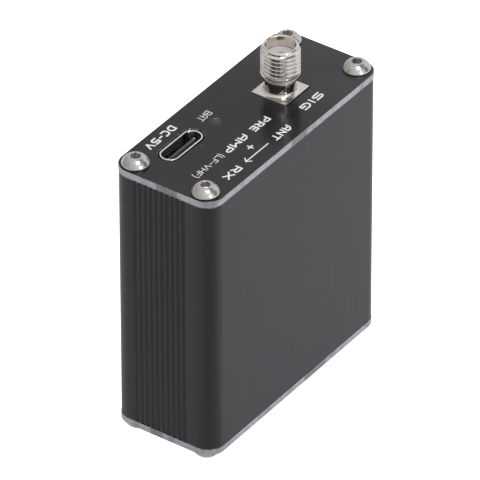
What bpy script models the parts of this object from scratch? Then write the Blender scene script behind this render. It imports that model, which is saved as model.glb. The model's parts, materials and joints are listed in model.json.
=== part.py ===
"""A pocket antenna preamplifier: an extruded aluminium case closed by two end panels.

The top panel carries a threaded coaxial output jack, a USB-C charging port and a charge light.
Inside, one upright circuit board and a flat rechargeable cell fill the case. The bottom panel
carries a slide switch and a flush antenna socket, and the unit stands on its lower screw heads.
+Z is up, +X runs along the wide faces and -Y is the front. Sizes are in millimetres until
the helper functions turn them into metres.
"""

from math import asin, cos, pi, sin, sqrt

import bmesh
import bpy

MM = 0.001
GAP = 0.05

# Case
CASE_WIDTH = 45.0
CASE_DEPTH = 18.8
PANEL_THICKNESS = 1.15
CASE_HEIGHT = 48.0
CORNER_RADIUS = 2.9
TUBE_INSET = 0.05
BROAD_WALL = 1.5
NARROW_WALL = 1.85
GROOVE_COUNT = 10
GROOVE_PITCH = 1.0
GROOVE_WIDTH = 0.5
GROOVE_DEPTH = 0.35
GROOVE_CENTRE_Y = 0.45

# Screws: M2.5 button heads with a 1.5 mm hexagon
SCREW_X = 20.0
SCREW_Y = 6.5
HEAD_RADIUS = 2.25
HEAD_HEIGHT = 1.45
HEAD_FLAT = 1.1
HEAD_RIM = 0.3
HEX_ACROSS_FLATS = 1.5
HEX_DEPTH = 0.95
SHANK_RADIUS = 1.0
SHANK_LENGTH = 6.0
PANEL_HOLE_RADIUS = 1.4
BOSS_RADIUS = 2.3
BOSS_BORE_RADIUS = 1.1

# Heights
PANEL_UNDERSIDE = HEAD_HEIGHT
TUBE_LOW = PANEL_UNDERSIDE + PANEL_THICKNESS + GAP
PANEL_TOP = PANEL_UNDERSIDE + CASE_HEIGHT
TUBE_HIGH = PANEL_TOP - PANEL_THICKNESS - GAP

# Circuit board and the rails that hold its edges
BOARD_THICKNESS = 1.6
BOARD_FRONT_Y = 0.42
BOARD_BACK_Y = BOARD_FRONT_Y + BOARD_THICKNESS
BOARD_HALF_WIDTH = 20.4
BOARD_LOW = TUBE_LOW + 0.3
BOARD_HIGH = PANEL_TOP - 2.0
RAIL_WIDTH = 1.0
RAIL_REACH = 1.1

# Coaxial jack: 1/4-36 thread, square base that straddles the board edge
JACK_X = 8.6
JACK_Y = -0.2
JACK_HEIGHT = 8.45
JACK_BASE_SIDE = 6.4
JACK_BASE_PROUD = 0.2
JACK_BASE_THICKNESS = 1.6
JACK_WINDOW_SIDE = 6.7
JACK_THREAD_RADIUS = 3.12
JACK_NOSE_RADIUS = 2.78
JACK_BORE_RADIUS = 2.33
JACK_BORE_DEPTH = 1.95
JACK_LEG_SIDE = 1.0
JACK_LEG_LENGTH = 4.6
INSULATOR_RADIUS = 2.05
CONTACT_RADIUS = 0.6
CONTACT_BORE_RADIUS = 0.46
CONTACT_TAIL = 3.6

# USB-C port on the back face of the board
PORT_X = -12.1
PORT_WIDTH = 8.94
PORT_HEIGHT = 3.26
PORT_WALL = 0.24
PORT_LENGTH = 7.3
PORT_Y = BOARD_BACK_Y + GAP + PORT_HEIGHT / 2
PORT_WINDOW_MARGIN = 0.3
TONGUE_WIDTH = 6.7
TONGUE_THICKNESS = 0.7
TONGUE_RECESS = 0.5
TONGUE_LENGTH = 4.6

# Charge light
LIGHT_X = -4.0
LIGHT_Y = 2.9
LIGHT_RADIUS = 0.85
LIGHT_LENGTH = 2.2

# Rechargeable cell, taped to the front of the board, and its lead
CELL_WIDTH = 20.0
CELL_THICKNESS = 5.0
CELL_LENGTH = 30.0
CELL_X = -5.0
CELL_LOW = 15.5
TAPE_SIZE = (16.0, 0.5, 24.0)
CELL_Y = BOARD_FRONT_Y - 2 * GAP - TAPE_SIZE[1] - CELL_THICKNESS / 2
SOCKET_X = -8.0
SOCKET_LOW = 4.2
SOCKET_SIZE = (6.2, 3.4, 4.4)
SOCKET_WALL = 0.5
PLUG_PROUD = 1.1
LEAD_RADIUS = 0.4
LEAD_SPACING = 1.6

# Slide switch, behind the board at its lower edge
SWITCH_X = -12.0
SWITCH_Y = 4.0
SWITCH_BODY = (8.6, 3.7, 3.5)
SWITCH_TRAVEL = 2.0
KNOB_SIZE = (1.6, 1.4)
KNOB_PROUD = 1.15
KNOB_BASE = (2.6, 2.2, 0.8)
SWITCH_SLOT = (SWITCH_TRAVEL + KNOB_SIZE[0] + 0.6, KNOB_SIZE[1] + 0.6)

# Flush antenna socket, in front of the board at its lower edge
AERIAL_X = 8.6
AERIAL_Y = -2.75
AERIAL_BODY = (6.0, 6.0, 11.5)
AERIAL_BORE_RADIUS = 1.8
AERIAL_BORE_DEPTH = 12.6
AERIAL_COLLAR_RADIUS = 3.0
AERIAL_COLLAR_PROUD = 0.35
AERIAL_NUT_RADIUS = 4.0
AERIAL_NUT_HEIGHT = 0.9

part_collection = bpy.data.collections.new("antenna_preamplifier")
cutter_collection = bpy.data.collections.new("cutters")


def clear_scene():
    """Take every object out of the scene, and link the two collections used here."""
    for obj in list(bpy.data.objects):
        bpy.data.objects.remove(obj, do_unlink=True)
    for collection in (part_collection, cutter_collection):
        bpy.context.scene.collection.children.link(collection)


def material(name, colour, roughness, metallic=0.0):
    """A Principled material, made once for each name."""
    found = bpy.data.materials.get(name)
    if found:
        return found
    made = bpy.data.materials.new(name)
    made.use_nodes = True
    shader = made.node_tree.nodes["Principled BSDF"]
    shader.inputs["Base Color"].default_value = (*colour, 1.0)
    shader.inputs["Roughness"].default_value = roughness
    shader.inputs["Metallic"].default_value = metallic
    return made


def black_anodised():
    return material("black_anodised", (0.045, 0.044, 0.048), 0.45, 0.7)


def black_panel():
    return material("black_panel", (0.04, 0.04, 0.042), 0.38, 0.4)


def stainless():
    return material("stainless", (0.62, 0.61, 0.58), 0.3, 1.0)


def bright_nickel():
    return material("bright_nickel", (0.75, 0.72, 0.69), 0.15, 1.0)


def gilt_contact():
    return material("gilt_contact", (0.8, 0.58, 0.25), 0.25, 1.0)


def white_fluoropolymer():
    return material("white_fluoropolymer", (0.78, 0.76, 0.72), 0.45)


def black_moulding():
    return material("black_moulding", (0.03, 0.03, 0.032), 0.5)


def green_board():
    return material("green_board", (0.02, 0.12, 0.05), 0.4)


def silver_pouch():
    return material("silver_pouch", (0.55, 0.56, 0.58), 0.35, 0.8)


def place(obj, x=0.0, y=0.0, z=0.0):
    """Put an object's origin at a point given in millimetres."""
    obj.location = (x * MM, y * MM, z * MM)
    return obj


def keep(name, data, surface):
    """A named sub-part with its own material, in the part's collection."""
    data.materials.append(surface)
    obj = bpy.data.objects.new(name, data)
    part_collection.objects.link(obj)
    return obj


def make_cutter(name, mesh):
    """A hidden helper that a Boolean reads."""
    obj = bpy.data.objects.new(name, mesh)
    obj.hide_render = True
    obj.display_type = "WIRE"
    cutter_collection.objects.link(obj)
    return obj


def boolean(target, other, operation):
    modifier = target.modifiers.new(operation.title(), "BOOLEAN")
    modifier.operation = operation
    modifier.solver = "EXACT"
    modifier.object = other


def smooth(mesh, angle=0.6):
    """Shade a round piece smooth, and keep its real edges sharp."""
    mesh.shade_smooth()
    mesh.set_sharp_from_angle(angle=angle)


def box_mesh(name, size):
    """A box centred on its origin, its scale already applied."""
    built = bmesh.new()
    bmesh.ops.create_cube(built, size=MM)
    bmesh.ops.scale(built, vec=size, verts=built.verts)
    mesh = bpy.data.meshes.new(name)
    built.to_mesh(mesh)
    built.free()
    return mesh


def prism_mesh(name, radius, length, sides, base=0.0):
    """A round or many-sided prism on +Z, with its low end at the given height."""
    built = bmesh.new()
    bmesh.ops.create_cone(
        built,
        cap_ends=True,
        segments=sides,
        radius1=radius * MM,
        radius2=radius * MM,
        depth=length * MM,
    )
    bmesh.ops.translate(built, vec=(0, 0, (base + length / 2) * MM), verts=built.verts)
    mesh = bpy.data.meshes.new(name)
    built.to_mesh(mesh)
    built.free()
    smooth(mesh)
    return mesh


def turned_mesh(name, profile, sides):
    """A solid of revolution from (radius, height) points that run down its outer side."""
    built = bmesh.new()
    points = [built.verts.new((radius * MM, 0, height * MM)) for radius, height in profile]
    for first, second in zip(points, points[1:]):
        built.edges.new((first, second))
    if profile[0][0] > 0 and profile[-1][0] > 0:
        built.edges.new((points[-1], points[0]))
    mesh = bpy.data.meshes.new(name + "_profile")
    built.to_mesh(mesh)
    built.free()
    helper = bpy.data.objects.new(name + "_profile", mesh)
    cutter_collection.objects.link(helper)
    screw = helper.modifiers.new("Turn", "SCREW")
    screw.steps = sides
    screw.render_steps = sides
    screw.use_merge_vertices = True
    screw.merge_threshold = 1e-6
    turned = evaluated_mesh(helper, name)
    smooth(turned)
    return turned


def evaluated_mesh(helper, name):
    """The welded mesh of a helper object, which is then removed."""
    graph = bpy.context.evaluated_depsgraph_get()
    mesh = bpy.data.meshes.new_from_object(helper.evaluated_get(graph))
    mesh.name = name
    mesh.transform(helper.matrix_world)
    built = bmesh.new()
    built.from_mesh(mesh)
    bmesh.ops.remove_doubles(built, verts=built.verts, dist=1e-7)
    built.to_mesh(mesh)
    built.free()
    bpy.data.objects.remove(helper, do_unlink=True)
    return mesh


def extruded_mesh(name, outlines, low, high):
    """Closed outlines filled and drawn up from one height to another. Inner outlines are holes."""
    curve = bpy.data.curves.new(name + "_outline", "CURVE")
    curve.dimensions = "2D"
    curve.fill_mode = "BOTH"
    curve.extrude = (high - low) / 2 * MM
    for outline in outlines:
        spline = curve.splines.new("POLY")
        spline.points.add(len(outline) - 1)
        for point, (x, y) in zip(spline.points, outline):
            point.co = (x * MM, y * MM, 0, 1)
        spline.use_cyclic_u = True
    helper = bpy.data.objects.new(name + "_outline", curve)
    cutter_collection.objects.link(helper)
    helper.location.z = (low + high) / 2 * MM
    bpy.context.view_layer.update()
    mesh = evaluated_mesh(helper, name)
    smooth(mesh)
    return mesh


def arc(x, y, radius, start, end, steps):
    """Points on an arc, both ends included, with angles in radians."""
    angles = [start + (end - start) * step / steps for step in range(steps + 1)]
    return [(x + radius * cos(angle), y + radius * sin(angle)) for angle in angles]


def circle(x, y, radius, sides):
    return arc(x, y, radius, 0, 2 * pi, sides)[:-1]


def rounded_rectangle(x, y, width, height, radius, steps=5):
    """A rectangle with round corners, counter-clockwise."""
    points = []
    for turn, (side_x, side_y) in enumerate(((1, 1), (-1, 1), (-1, -1), (1, -1))):
        corner_x = x + side_x * (width / 2 - radius)
        corner_y = y + side_y * (height / 2 - radius)
        points += arc(corner_x, corner_y, radius, turn * pi / 2, (turn + 1) * pi / 2, steps)
    return points


def screw_places():
    return [(x, y) for x in (-SCREW_X, SCREW_X) for y in (-SCREW_Y, SCREW_Y)]


def mirrored(points):
    """The same outline stretch on the other side of the case, in the same turning sense."""
    return [(-x, y) for x, y in reversed(points)]


def grooved_side():
    """The +X side of the case from low y to high y, with its row of grooves."""
    face = CASE_WIDTH / 2 - TUBE_INSET
    points = []
    for index in range(GROOVE_COUNT):
        y = GROOVE_CENTRE_Y + (index - (GROOVE_COUNT - 1) / 2) * GROOVE_PITCH
        mouth = GROOVE_WIDTH / 2
        floor = mouth - 0.08
        points += [
            (face, y - mouth),
            (face - GROOVE_DEPTH, y - floor),
            (face - GROOVE_DEPTH, y + floor),
            (face, y + mouth),
        ]
    return points


def case_outline():
    half_width = CASE_WIDTH / 2 - TUBE_INSET
    half_depth = CASE_DEPTH / 2 - TUBE_INSET
    x = half_width - CORNER_RADIUS
    y = half_depth - CORNER_RADIUS
    right = arc(x, -y, CORNER_RADIUS, -pi / 2, 0, 5)
    right += grooved_side()
    right += arc(x, y, CORNER_RADIUS, 0, pi / 2, 5)
    return right + mirrored(right)


def rail_steps():
    """The board's two rails on the +X wall, from low y to high y."""
    wall = CASE_WIDTH / 2 - NARROW_WALL
    points = []
    for low in (BOARD_FRONT_Y - GAP - RAIL_WIDTH, BOARD_BACK_Y + GAP):
        high = low + RAIL_WIDTH
        points += [(wall, low), (wall - RAIL_REACH, low), (wall - RAIL_REACH, high), (wall, high)]
    return points


def cavity_outline():
    """The inside of the case: a rectangle, a screw boss in each corner, and the board's rails."""
    wall_x = CASE_WIDTH / 2 - NARROW_WALL
    wall_y = CASE_DEPTH / 2 - BROAD_WALL
    on_side = -asin(sqrt(BOSS_RADIUS**2 - (wall_x - SCREW_X) ** 2) / BOSS_RADIUS)
    on_broad = pi - asin((wall_y - SCREW_Y) / BOSS_RADIUS)
    boss = arc(SCREW_X, SCREW_Y, BOSS_RADIUS, on_side + 2 * pi, on_broad, 6)
    low_boss = [(x, -y) for x, y in reversed(boss)]
    right = low_boss + rail_steps() + boss
    return right + mirrored(right)


def enclosure_tube():
    """One aluminium extrusion: smooth broad faces, grooved narrow sides, bored screw bosses."""
    bores = [circle(x, y, BOSS_BORE_RADIUS, 12) for x, y in screw_places()]
    outlines = [case_outline(), cavity_outline(), *bores]
    keep("enclosure_tube", extruded_mesh("tube", outlines, TUBE_LOW, TUBE_HIGH), black_anodised())


def panel(name, low, windows):
    """An end panel: a rounded plate with four screw holes and its own windows."""
    plate = rounded_rectangle(0, 0, CASE_WIDTH, CASE_DEPTH, CORNER_RADIUS)
    holes = [circle(x, y, PANEL_HOLE_RADIUS, 16) for x, y in screw_places()]
    outlines = [plate, *holes, *windows]
    keep(name, extruded_mesh(name, outlines, low, low + PANEL_THICKNESS), black_panel())


def top_panel():
    port_width = PORT_WIDTH + 2 * PORT_WINDOW_MARGIN
    port_height = PORT_HEIGHT + 2 * PORT_WINDOW_MARGIN
    windows = [
        rounded_rectangle(JACK_X, JACK_Y, JACK_WINDOW_SIDE, JACK_WINDOW_SIDE, 0.3, 2),
        rounded_rectangle(PORT_X, PORT_Y, port_width, port_height, port_height / 2 - 0.05, 6),
        circle(LIGHT_X, LIGHT_Y, LIGHT_RADIUS + GAP, 12),
    ]
    panel("top_panel", PANEL_TOP - PANEL_THICKNESS, windows)


def bottom_panel():
    slot_x = SWITCH_X + SWITCH_TRAVEL / 2
    windows = [
        rounded_rectangle(slot_x, SWITCH_Y, *SWITCH_SLOT, 0.3, 2),
        circle(AERIAL_X, AERIAL_Y, AERIAL_COLLAR_RADIUS + GAP, 24),
    ]
    panel("bottom_panel", PANEL_UNDERSIDE, windows)


def screw_profile():
    """Half a button-head screw, head up, from the flat round the hexagon down to the tip."""
    rise = HEAD_RADIUS**2 - HEAD_FLAT**2
    centre = (HEAD_HEIGHT + HEAD_RIM - rise / (HEAD_HEIGHT - HEAD_RIM)) / 2
    ball = sqrt(HEAD_FLAT**2 + (HEAD_HEIGHT - centre) ** 2)
    dome = []
    for step in range(5):
        radius = HEAD_FLAT + (HEAD_RADIUS - HEAD_FLAT) * step / 4
        dome.append((radius, centre + sqrt(ball**2 - radius**2)))
    foot = [
        (HEAD_RADIUS - 0.08, GAP),
        (SHANK_RADIUS, GAP),
        (SHANK_RADIUS, -SHANK_LENGTH),
        (0, -SHANK_LENGTH),
    ]
    return [(0, HEAD_HEIGHT), *dome, *foot]


def screws():
    """Four screws in each panel, those below turned upside down."""
    mesh = turned_mesh("button_screw", screw_profile(), 20)
    recess = prism_mesh("hexagon", HEX_ACROSS_FLATS / sqrt(3), 2 * HEX_DEPTH, 6, -HEX_DEPTH)
    for label, height, up in (("top", PANEL_TOP, 1), ("bottom", PANEL_UNDERSIDE, -1)):
        for number, (x, y) in enumerate(screw_places(), start=1):
            name = f"{label}_screw_{number}"
            screw = place(keep(name, mesh.copy(), stainless()), x, y, height)
            screw.rotation_euler.x = 0 if up > 0 else pi
            hexagon = place(make_cutter(name + "_hexagon", recess), x, y, height + up * HEAD_HEIGHT)
            boolean(screw, hexagon, "DIFFERENCE")


def jack_outer_profile():
    """The coaxial jack's outside, from the rim down into its base."""
    return [
        (0, JACK_HEIGHT),
        (JACK_NOSE_RADIUS - 0.15, JACK_HEIGHT),
        (JACK_NOSE_RADIUS, JACK_HEIGHT - 0.15),
        (JACK_NOSE_RADIUS, JACK_HEIGHT - 0.75),
        (JACK_THREAD_RADIUS, JACK_HEIGHT - 1.1),
        (JACK_THREAD_RADIUS, 2.75),
        (2.7, 2.35),
        (2.5, 2.3),
        (2.5, 2.1),
        (2.75, 2.05),
        (2.75, 1.8),
        (2.5, 1.7),
        (2.5, 0.8),
        (2.95, JACK_BASE_PROUD),
        (2.95, -0.5),
        (0, -0.5),
    ]


def jack_bore_profile():
    """The hole through the jack: a wide mouth, then the seat of the insulator."""
    seat = INSULATOR_RADIUS + GAP
    below = JACK_BASE_PROUD - JACK_BASE_THICKNESS - 1
    return [
        (0, JACK_HEIGHT + 1),
        (JACK_BORE_RADIUS, JACK_HEIGHT + 1),
        (JACK_BORE_RADIUS, JACK_HEIGHT - JACK_BORE_DEPTH),
        (seat, JACK_HEIGHT - JACK_BORE_DEPTH),
        (seat, below),
        (0, below),
    ]


def jack_legs():
    """Four legs under the base, two on each face of the board."""
    low = JACK_BASE_PROUD - JACK_BASE_THICKNESS - JACK_LEG_LENGTH
    spread = (JACK_BASE_SIDE - JACK_LEG_SIDE) / 2
    front = BOARD_FRONT_Y - GAP - JACK_LEG_SIDE / 2
    back = BOARD_BACK_Y + GAP + JACK_LEG_SIDE / 2
    size = (JACK_LEG_SIDE, JACK_LEG_SIDE, JACK_LEG_LENGTH + 0.4)
    for number, (side, y) in enumerate(((-1, front), (1, front), (-1, back), (1, back))):
        leg = make_cutter(f"jack_leg_{number}", box_mesh("jack_leg", size))
        yield place(leg, JACK_X + side * spread, y, PANEL_TOP + low + size[2] / 2)


def coaxial_jack():
    """Threaded barrel on a square base, its insulator, and the contact with its board tail."""
    barrel = turned_mesh("jack_barrel", jack_outer_profile(), 28)
    jack = place(keep("sma_jack_body", barrel, bright_nickel()), JACK_X, JACK_Y, PANEL_TOP)
    side = (JACK_BASE_SIDE, JACK_BASE_SIDE, JACK_BASE_THICKNESS)
    base = make_cutter("jack_base", box_mesh("jack_base", side))
    place(base, JACK_X, JACK_Y, PANEL_TOP + JACK_BASE_PROUD - JACK_BASE_THICKNESS / 2)
    boolean(jack, base, "UNION")
    for leg in jack_legs():
        boolean(jack, leg, "UNION")
    bore = make_cutter("jack_bore", turned_mesh("jack_bore", jack_bore_profile(), 28))
    boolean(jack, place(bore, JACK_X, JACK_Y, PANEL_TOP), "DIFFERENCE")

    face = JACK_HEIGHT - JACK_BORE_DEPTH
    foot = JACK_BASE_PROUD - JACK_BASE_THICKNESS
    ring = [
        (CONTACT_RADIUS + GAP, face),
        (INSULATOR_RADIUS, face),
        (INSULATOR_RADIUS, foot),
        (CONTACT_RADIUS + GAP, foot),
    ]
    insulator = keep("sma_insulator", turned_mesh("insulator", ring, 24), white_fluoropolymer())
    place(insulator, JACK_X, JACK_Y, PANEL_TOP)
    pin = [
        (CONTACT_BORE_RADIUS, face),
        (CONTACT_RADIUS, face),
        (CONTACT_RADIUS, foot - CONTACT_TAIL),
        (0, foot - CONTACT_TAIL),
        (0, face - 3),
        (CONTACT_BORE_RADIUS, face - 3),
    ]
    contact = turned_mesh("contact", pin + pin[:1], 14)
    place(keep("sma_center_contact", contact, gilt_contact()), JACK_X, JACK_Y, PANEL_TOP)


def usb_port():
    """A drawn metal shell round a moulded block, whose tongue faces the mouth."""
    mouth = PANEL_TOP
    inner_width = PORT_WIDTH - 2 * PORT_WALL
    inner_height = PORT_HEIGHT - 2 * PORT_WALL
    outer = rounded_rectangle(PORT_X, PORT_Y, PORT_WIDTH, PORT_HEIGHT, PORT_HEIGHT / 2 - 0.05, 6)
    inner = rounded_rectangle(PORT_X, PORT_Y, inner_width, inner_height, inner_height / 2 - 0.05, 6)
    shell = extruded_mesh("usb_shell", [outer, inner], mouth - PORT_LENGTH, mouth)
    keep("usb_c_shell", shell, bright_nickel())

    block_width = inner_width - 2 * GAP
    block_height = inner_height - 2 * GAP
    radius = block_height / 2 - 0.05
    outline = rounded_rectangle(PORT_X, PORT_Y, block_width, block_height, radius, 6)
    block_high = mouth - TONGUE_RECESS - TONGUE_LENGTH
    block = extruded_mesh("usb_block", [outline], mouth - PORT_LENGTH, block_high)
    insert = keep("usb_c_insert", block, black_moulding())
    size = (TONGUE_WIDTH, TONGUE_THICKNESS, TONGUE_LENGTH + 0.5)
    tongue = make_cutter("usb_tongue", box_mesh("usb_tongue", size))
    place(tongue, PORT_X, PORT_Y, mouth - TONGUE_RECESS - size[2] / 2)
    boolean(insert, tongue, "UNION")


def charge_light():
    """A clear window flush with the panel, over a small lamp on the board."""
    clear = material("clear_window", (0.5, 0.5, 0.52), 0.2)
    window = prism_mesh("light_window", LIGHT_RADIUS, LIGHT_LENGTH, 12, -LIGHT_LENGTH)
    place(keep("charge_light_window", window, clear), LIGHT_X, LIGHT_Y, PANEL_TOP)
    yellow = material("lamp_phosphor", (0.8, 0.7, 0.3), 0.4)
    lamp_y = BOARD_BACK_Y + GAP + 0.4
    lamp = keep("charge_lamp", box_mesh("charge_lamp", (1.6, 0.8, 0.8)), yellow)
    place(lamp, LIGHT_X, lamp_y, BOARD_HIGH - 0.9)


def circuit_board():
    height = BOARD_HIGH - BOARD_LOW
    size = (2 * BOARD_HALF_WIDTH, BOARD_THICKNESS, height)
    board = keep("main_circuit_board", box_mesh("board", size), green_board())
    place(board, 0, BOARD_FRONT_Y + BOARD_THICKNESS / 2, BOARD_LOW + height / 2)


def on_board(name, mesh, side, x, z, depth, surface):
    """Set a component on the board's front (-1) or back (1) face, a hair clear of it."""
    face = BOARD_BACK_Y + GAP + depth / 2 if side > 0 else BOARD_FRONT_Y - GAP - depth / 2
    return place(keep(name, mesh, surface), x, face, z)


def chip(name, side, x, z, size, surface):
    """A packaged component: a box with eased edges."""
    body = on_board(name, box_mesh(name, size), side, x, z, size[1], surface)
    bevel = body.modifiers.new("Ease", "BEVEL")
    bevel.width = 0.12 * MM
    bevel.segments = 1


def components():
    epoxy = material("chip_epoxy", (0.02, 0.02, 0.022), 0.55)
    ferrite = material("ferrite", (0.09, 0.09, 0.095), 0.7)
    tantalum = material("tantalum_case", (0.55, 0.42, 0.08), 0.5)
    ceramic = material("ceramic", (0.45, 0.33, 0.22), 0.5)
    chip("input_amplifier_chip", 1, 8.5, 18.0, (3.0, 1.1, 3.0), epoxy)
    chip("output_amplifier_chip", 1, 8.5, 34.0, (4.5, 1.4, 2.5), epoxy)
    chip("charger_chip", 1, -12.0, 34.0, (3.9, 1.4, 4.9), epoxy)
    chip("voltage_regulator", 1, -3.0, 22.0, (2.9, 1.1, 1.6), epoxy)
    chip("power_inductor", 1, -12.0, 23.0, (4.0, 2.0, 4.0), ferrite)
    chip("supply_capacitor", 1, -3.5, 32.0, (3.2, 1.4, 1.6), tantalum)
    chip("input_capacitor", 1, 8.5, 11.0, (2.0, 1.2, 1.25), ceramic)
    chip("output_capacitor", 1, 15.0, 34.0, (2.0, 1.2, 1.25), ceramic)


def battery():
    """A flat pouch cell on its tape, with two leads down to a plug and its socket."""
    size = (CELL_WIDTH, CELL_THICKNESS, CELL_LENGTH)
    cell = keep("battery_cell", box_mesh("cell", size), silver_pouch())
    cell_z = CELL_LOW + CELL_LENGTH / 2
    place(cell, CELL_X, CELL_Y, cell_z)
    bevel = cell.modifiers.new("Round", "BEVEL")
    bevel.width = 0.9 * MM
    bevel.segments = 2

    foam = material("foam_tape", (0.6, 0.6, 0.58), 0.9)
    on_board("cell_tape", box_mesh("cell_tape", TAPE_SIZE), -1, CELL_X, cell_z, TAPE_SIZE[1], foam)

    white = material("white_moulding", (0.7, 0.69, 0.64), 0.5)
    width, depth, height = SOCKET_SIZE
    shell = box_mesh("battery_socket", SOCKET_SIZE)
    middle_z = SOCKET_LOW + height / 2
    socket = on_board("battery_socket", shell, -1, SOCKET_X, middle_z, depth, white)
    hollow = (width - 2 * SOCKET_WALL, depth - 2 * SOCKET_WALL, height)
    pocket = make_cutter("socket_pocket", box_mesh("socket_pocket", hollow))
    middle_y = BOARD_FRONT_Y - GAP - depth / 2
    place(pocket, SOCKET_X, middle_y, middle_z + 1)
    boolean(socket, pocket, "DIFFERENCE")

    plug_size = (hollow[0] - 2 * GAP, hollow[1] - 2 * GAP, height - 1 - GAP + PLUG_PROUD)
    plug = keep("battery_plug", box_mesh("battery_plug", plug_size), white)
    plug_high = SOCKET_LOW + height + PLUG_PROUD
    place(plug, SOCKET_X, middle_y, plug_high - plug_size[2] / 2)
    lead("battery_lead_red", 1, plug_high, middle_y, (0.6, 0.02, 0.02))
    lead("battery_lead_black", -1, plug_high, middle_y, (0.02, 0.02, 0.02))


def lead(name, side, plug_high, plug_y, colour):
    """One insulated wire from the plug up to the cell's lower edge."""
    plug_x = SOCKET_X + side * LEAD_SPACING / 2
    cell_x = SOCKET_X + 2 + side * LEAD_SPACING
    route = [(plug_x, plug_y, plug_high + 0.1), (cell_x, CELL_Y, CELL_LOW - 0.1)]
    curve = bpy.data.curves.new(name, "CURVE")
    curve.dimensions = "3D"
    curve.bevel_depth = LEAD_RADIUS * MM
    curve.bevel_resolution = 2
    curve.resolution_u = 5
    curve.use_fill_caps = True
    spline = curve.splines.new("BEZIER")
    spline.bezier_points.add(1)
    for point, (x, y, z) in zip(spline.bezier_points, route):
        point.co = (x * MM, y * MM, z * MM)
        point.handle_left = (x * MM, y * MM, (z - 2) * MM)
        point.handle_right = (x * MM, y * MM, (z + 2) * MM)
    keep(name, curve, material(name, colour, 0.5))


def power_switch():
    """A slide switch whose knob reaches out through the bottom panel, short of the screw heads."""
    width, depth, height = SWITCH_BODY
    slot_x = SWITCH_X + SWITCH_TRAVEL / 2
    low = TUBE_LOW + 0.3
    steel = material("switch_steel", (0.6, 0.6, 0.6), 0.35, 1.0)
    body = keep("power_switch_body", box_mesh("switch_body", SWITCH_BODY), steel)
    place(body, slot_x, SWITCH_Y, low + height / 2)
    guide = (SWITCH_TRAVEL + KNOB_BASE[0] + 0.4, KNOB_BASE[1] + 0.3, 2 * (KNOB_BASE[2] + 0.2))
    track = make_cutter("switch_track", box_mesh("switch_track", guide))
    boolean(body, place(track, slot_x, SWITCH_Y, low), "DIFFERENCE")

    pivot = bpy.data.objects.new("switch_slide_axis", None)
    part_collection.objects.link(pivot)
    place(pivot, SWITCH_X, SWITCH_Y, low)
    knob_low = PANEL_UNDERSIDE - KNOB_PROUD
    stem = (*KNOB_SIZE, low + 0.1 - knob_low)
    knob = keep("power_switch_slider", box_mesh("knob", stem), black_moulding())
    knob.parent = pivot
    place(knob, 0, 0, knob_low + stem[2] / 2 - low)
    base = make_cutter("knob_base", box_mesh("knob_base", KNOB_BASE))
    place(base, SWITCH_X, SWITCH_Y, low + KNOB_BASE[2] / 2 + 0.05)
    boolean(knob, base, "UNION")


def antenna_socket():
    """A flush jack: its moulded body, its threaded collar through the panel, and the ring nut."""
    width, depth, height = AERIAL_BODY
    body_low = TUBE_LOW + 0.1
    collar_low = PANEL_UNDERSIDE - AERIAL_NUT_HEIGHT - AERIAL_COLLAR_PROUD
    body = keep("antenna_jack_body", box_mesh("antenna_jack", AERIAL_BODY), black_moulding())
    place(body, AERIAL_X, AERIAL_Y, body_low + height / 2)
    stem = prism_mesh("collar", AERIAL_COLLAR_RADIUS - 0.3, body_low + 0.5 - collar_low, 24)
    collar = make_cutter("collar", stem)
    boolean(body, place(collar, AERIAL_X, AERIAL_Y, collar_low), "UNION")
    bore_mesh = prism_mesh("aerial_bore", AERIAL_BORE_RADIUS, AERIAL_BORE_DEPTH + 1, 20, -1)
    bore = make_cutter("aerial_bore", bore_mesh)
    boolean(body, place(bore, AERIAL_X, AERIAL_Y, collar_low), "DIFFERENCE")

    inner = AERIAL_COLLAR_RADIUS - 0.3 + GAP
    low = -AERIAL_NUT_HEIGHT
    bush = AERIAL_COLLAR_RADIUS - GAP
    ring = [
        (inner, PANEL_THICKNESS - GAP),
        (bush, PANEL_THICKNESS - GAP),
        (bush, -GAP),
        (AERIAL_NUT_RADIUS, -GAP),
        (AERIAL_NUT_RADIUS, low + 0.2),
        (AERIAL_NUT_RADIUS - 0.2, low),
        (inner, low),
    ]
    nut = turned_mesh("antenna_jack_nut", ring, 28)
    nut = keep("antenna_jack_nut", nut, bright_nickel())
    place(nut, AERIAL_X, AERIAL_Y, PANEL_UNDERSIDE)

    blade = keep("antenna_jack_contact", box_mesh("blade", (0.3, 0.9, 4.0)), gilt_contact())
    place(blade, AERIAL_X + AERIAL_BORE_RADIUS - 0.4, AERIAL_Y, collar_low + 9.5)


def build():
    clear_scene()
    enclosure_tube()
    top_panel()
    bottom_panel()
    screws()
    coaxial_jack()
    usb_port()
    charge_light()
    circuit_board()
    components()
    battery()
    power_switch()
    antenna_socket()


build()
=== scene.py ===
"""Looks for the pocket antenna preamplifier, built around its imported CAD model.

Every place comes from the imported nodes. Sizes are in millimetres until a helper turns them
into metres. +Z is up, +X runs along the broad faces and -Y is the front.
"""

import json
from math import asin, cos, pi, radians, sin, sqrt

import bmesh
import bpy
from mathutils import Matrix, Vector
from mathutils.geometry import delaunay_2d_cdt


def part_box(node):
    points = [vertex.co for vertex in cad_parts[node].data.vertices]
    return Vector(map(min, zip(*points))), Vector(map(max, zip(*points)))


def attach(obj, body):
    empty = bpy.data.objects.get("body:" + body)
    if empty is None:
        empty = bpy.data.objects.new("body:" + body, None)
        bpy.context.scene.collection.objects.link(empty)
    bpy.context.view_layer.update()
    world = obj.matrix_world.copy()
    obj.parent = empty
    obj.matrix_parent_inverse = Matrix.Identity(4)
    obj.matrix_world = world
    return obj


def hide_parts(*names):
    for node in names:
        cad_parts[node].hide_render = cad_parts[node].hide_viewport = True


MM = 0.001

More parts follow.
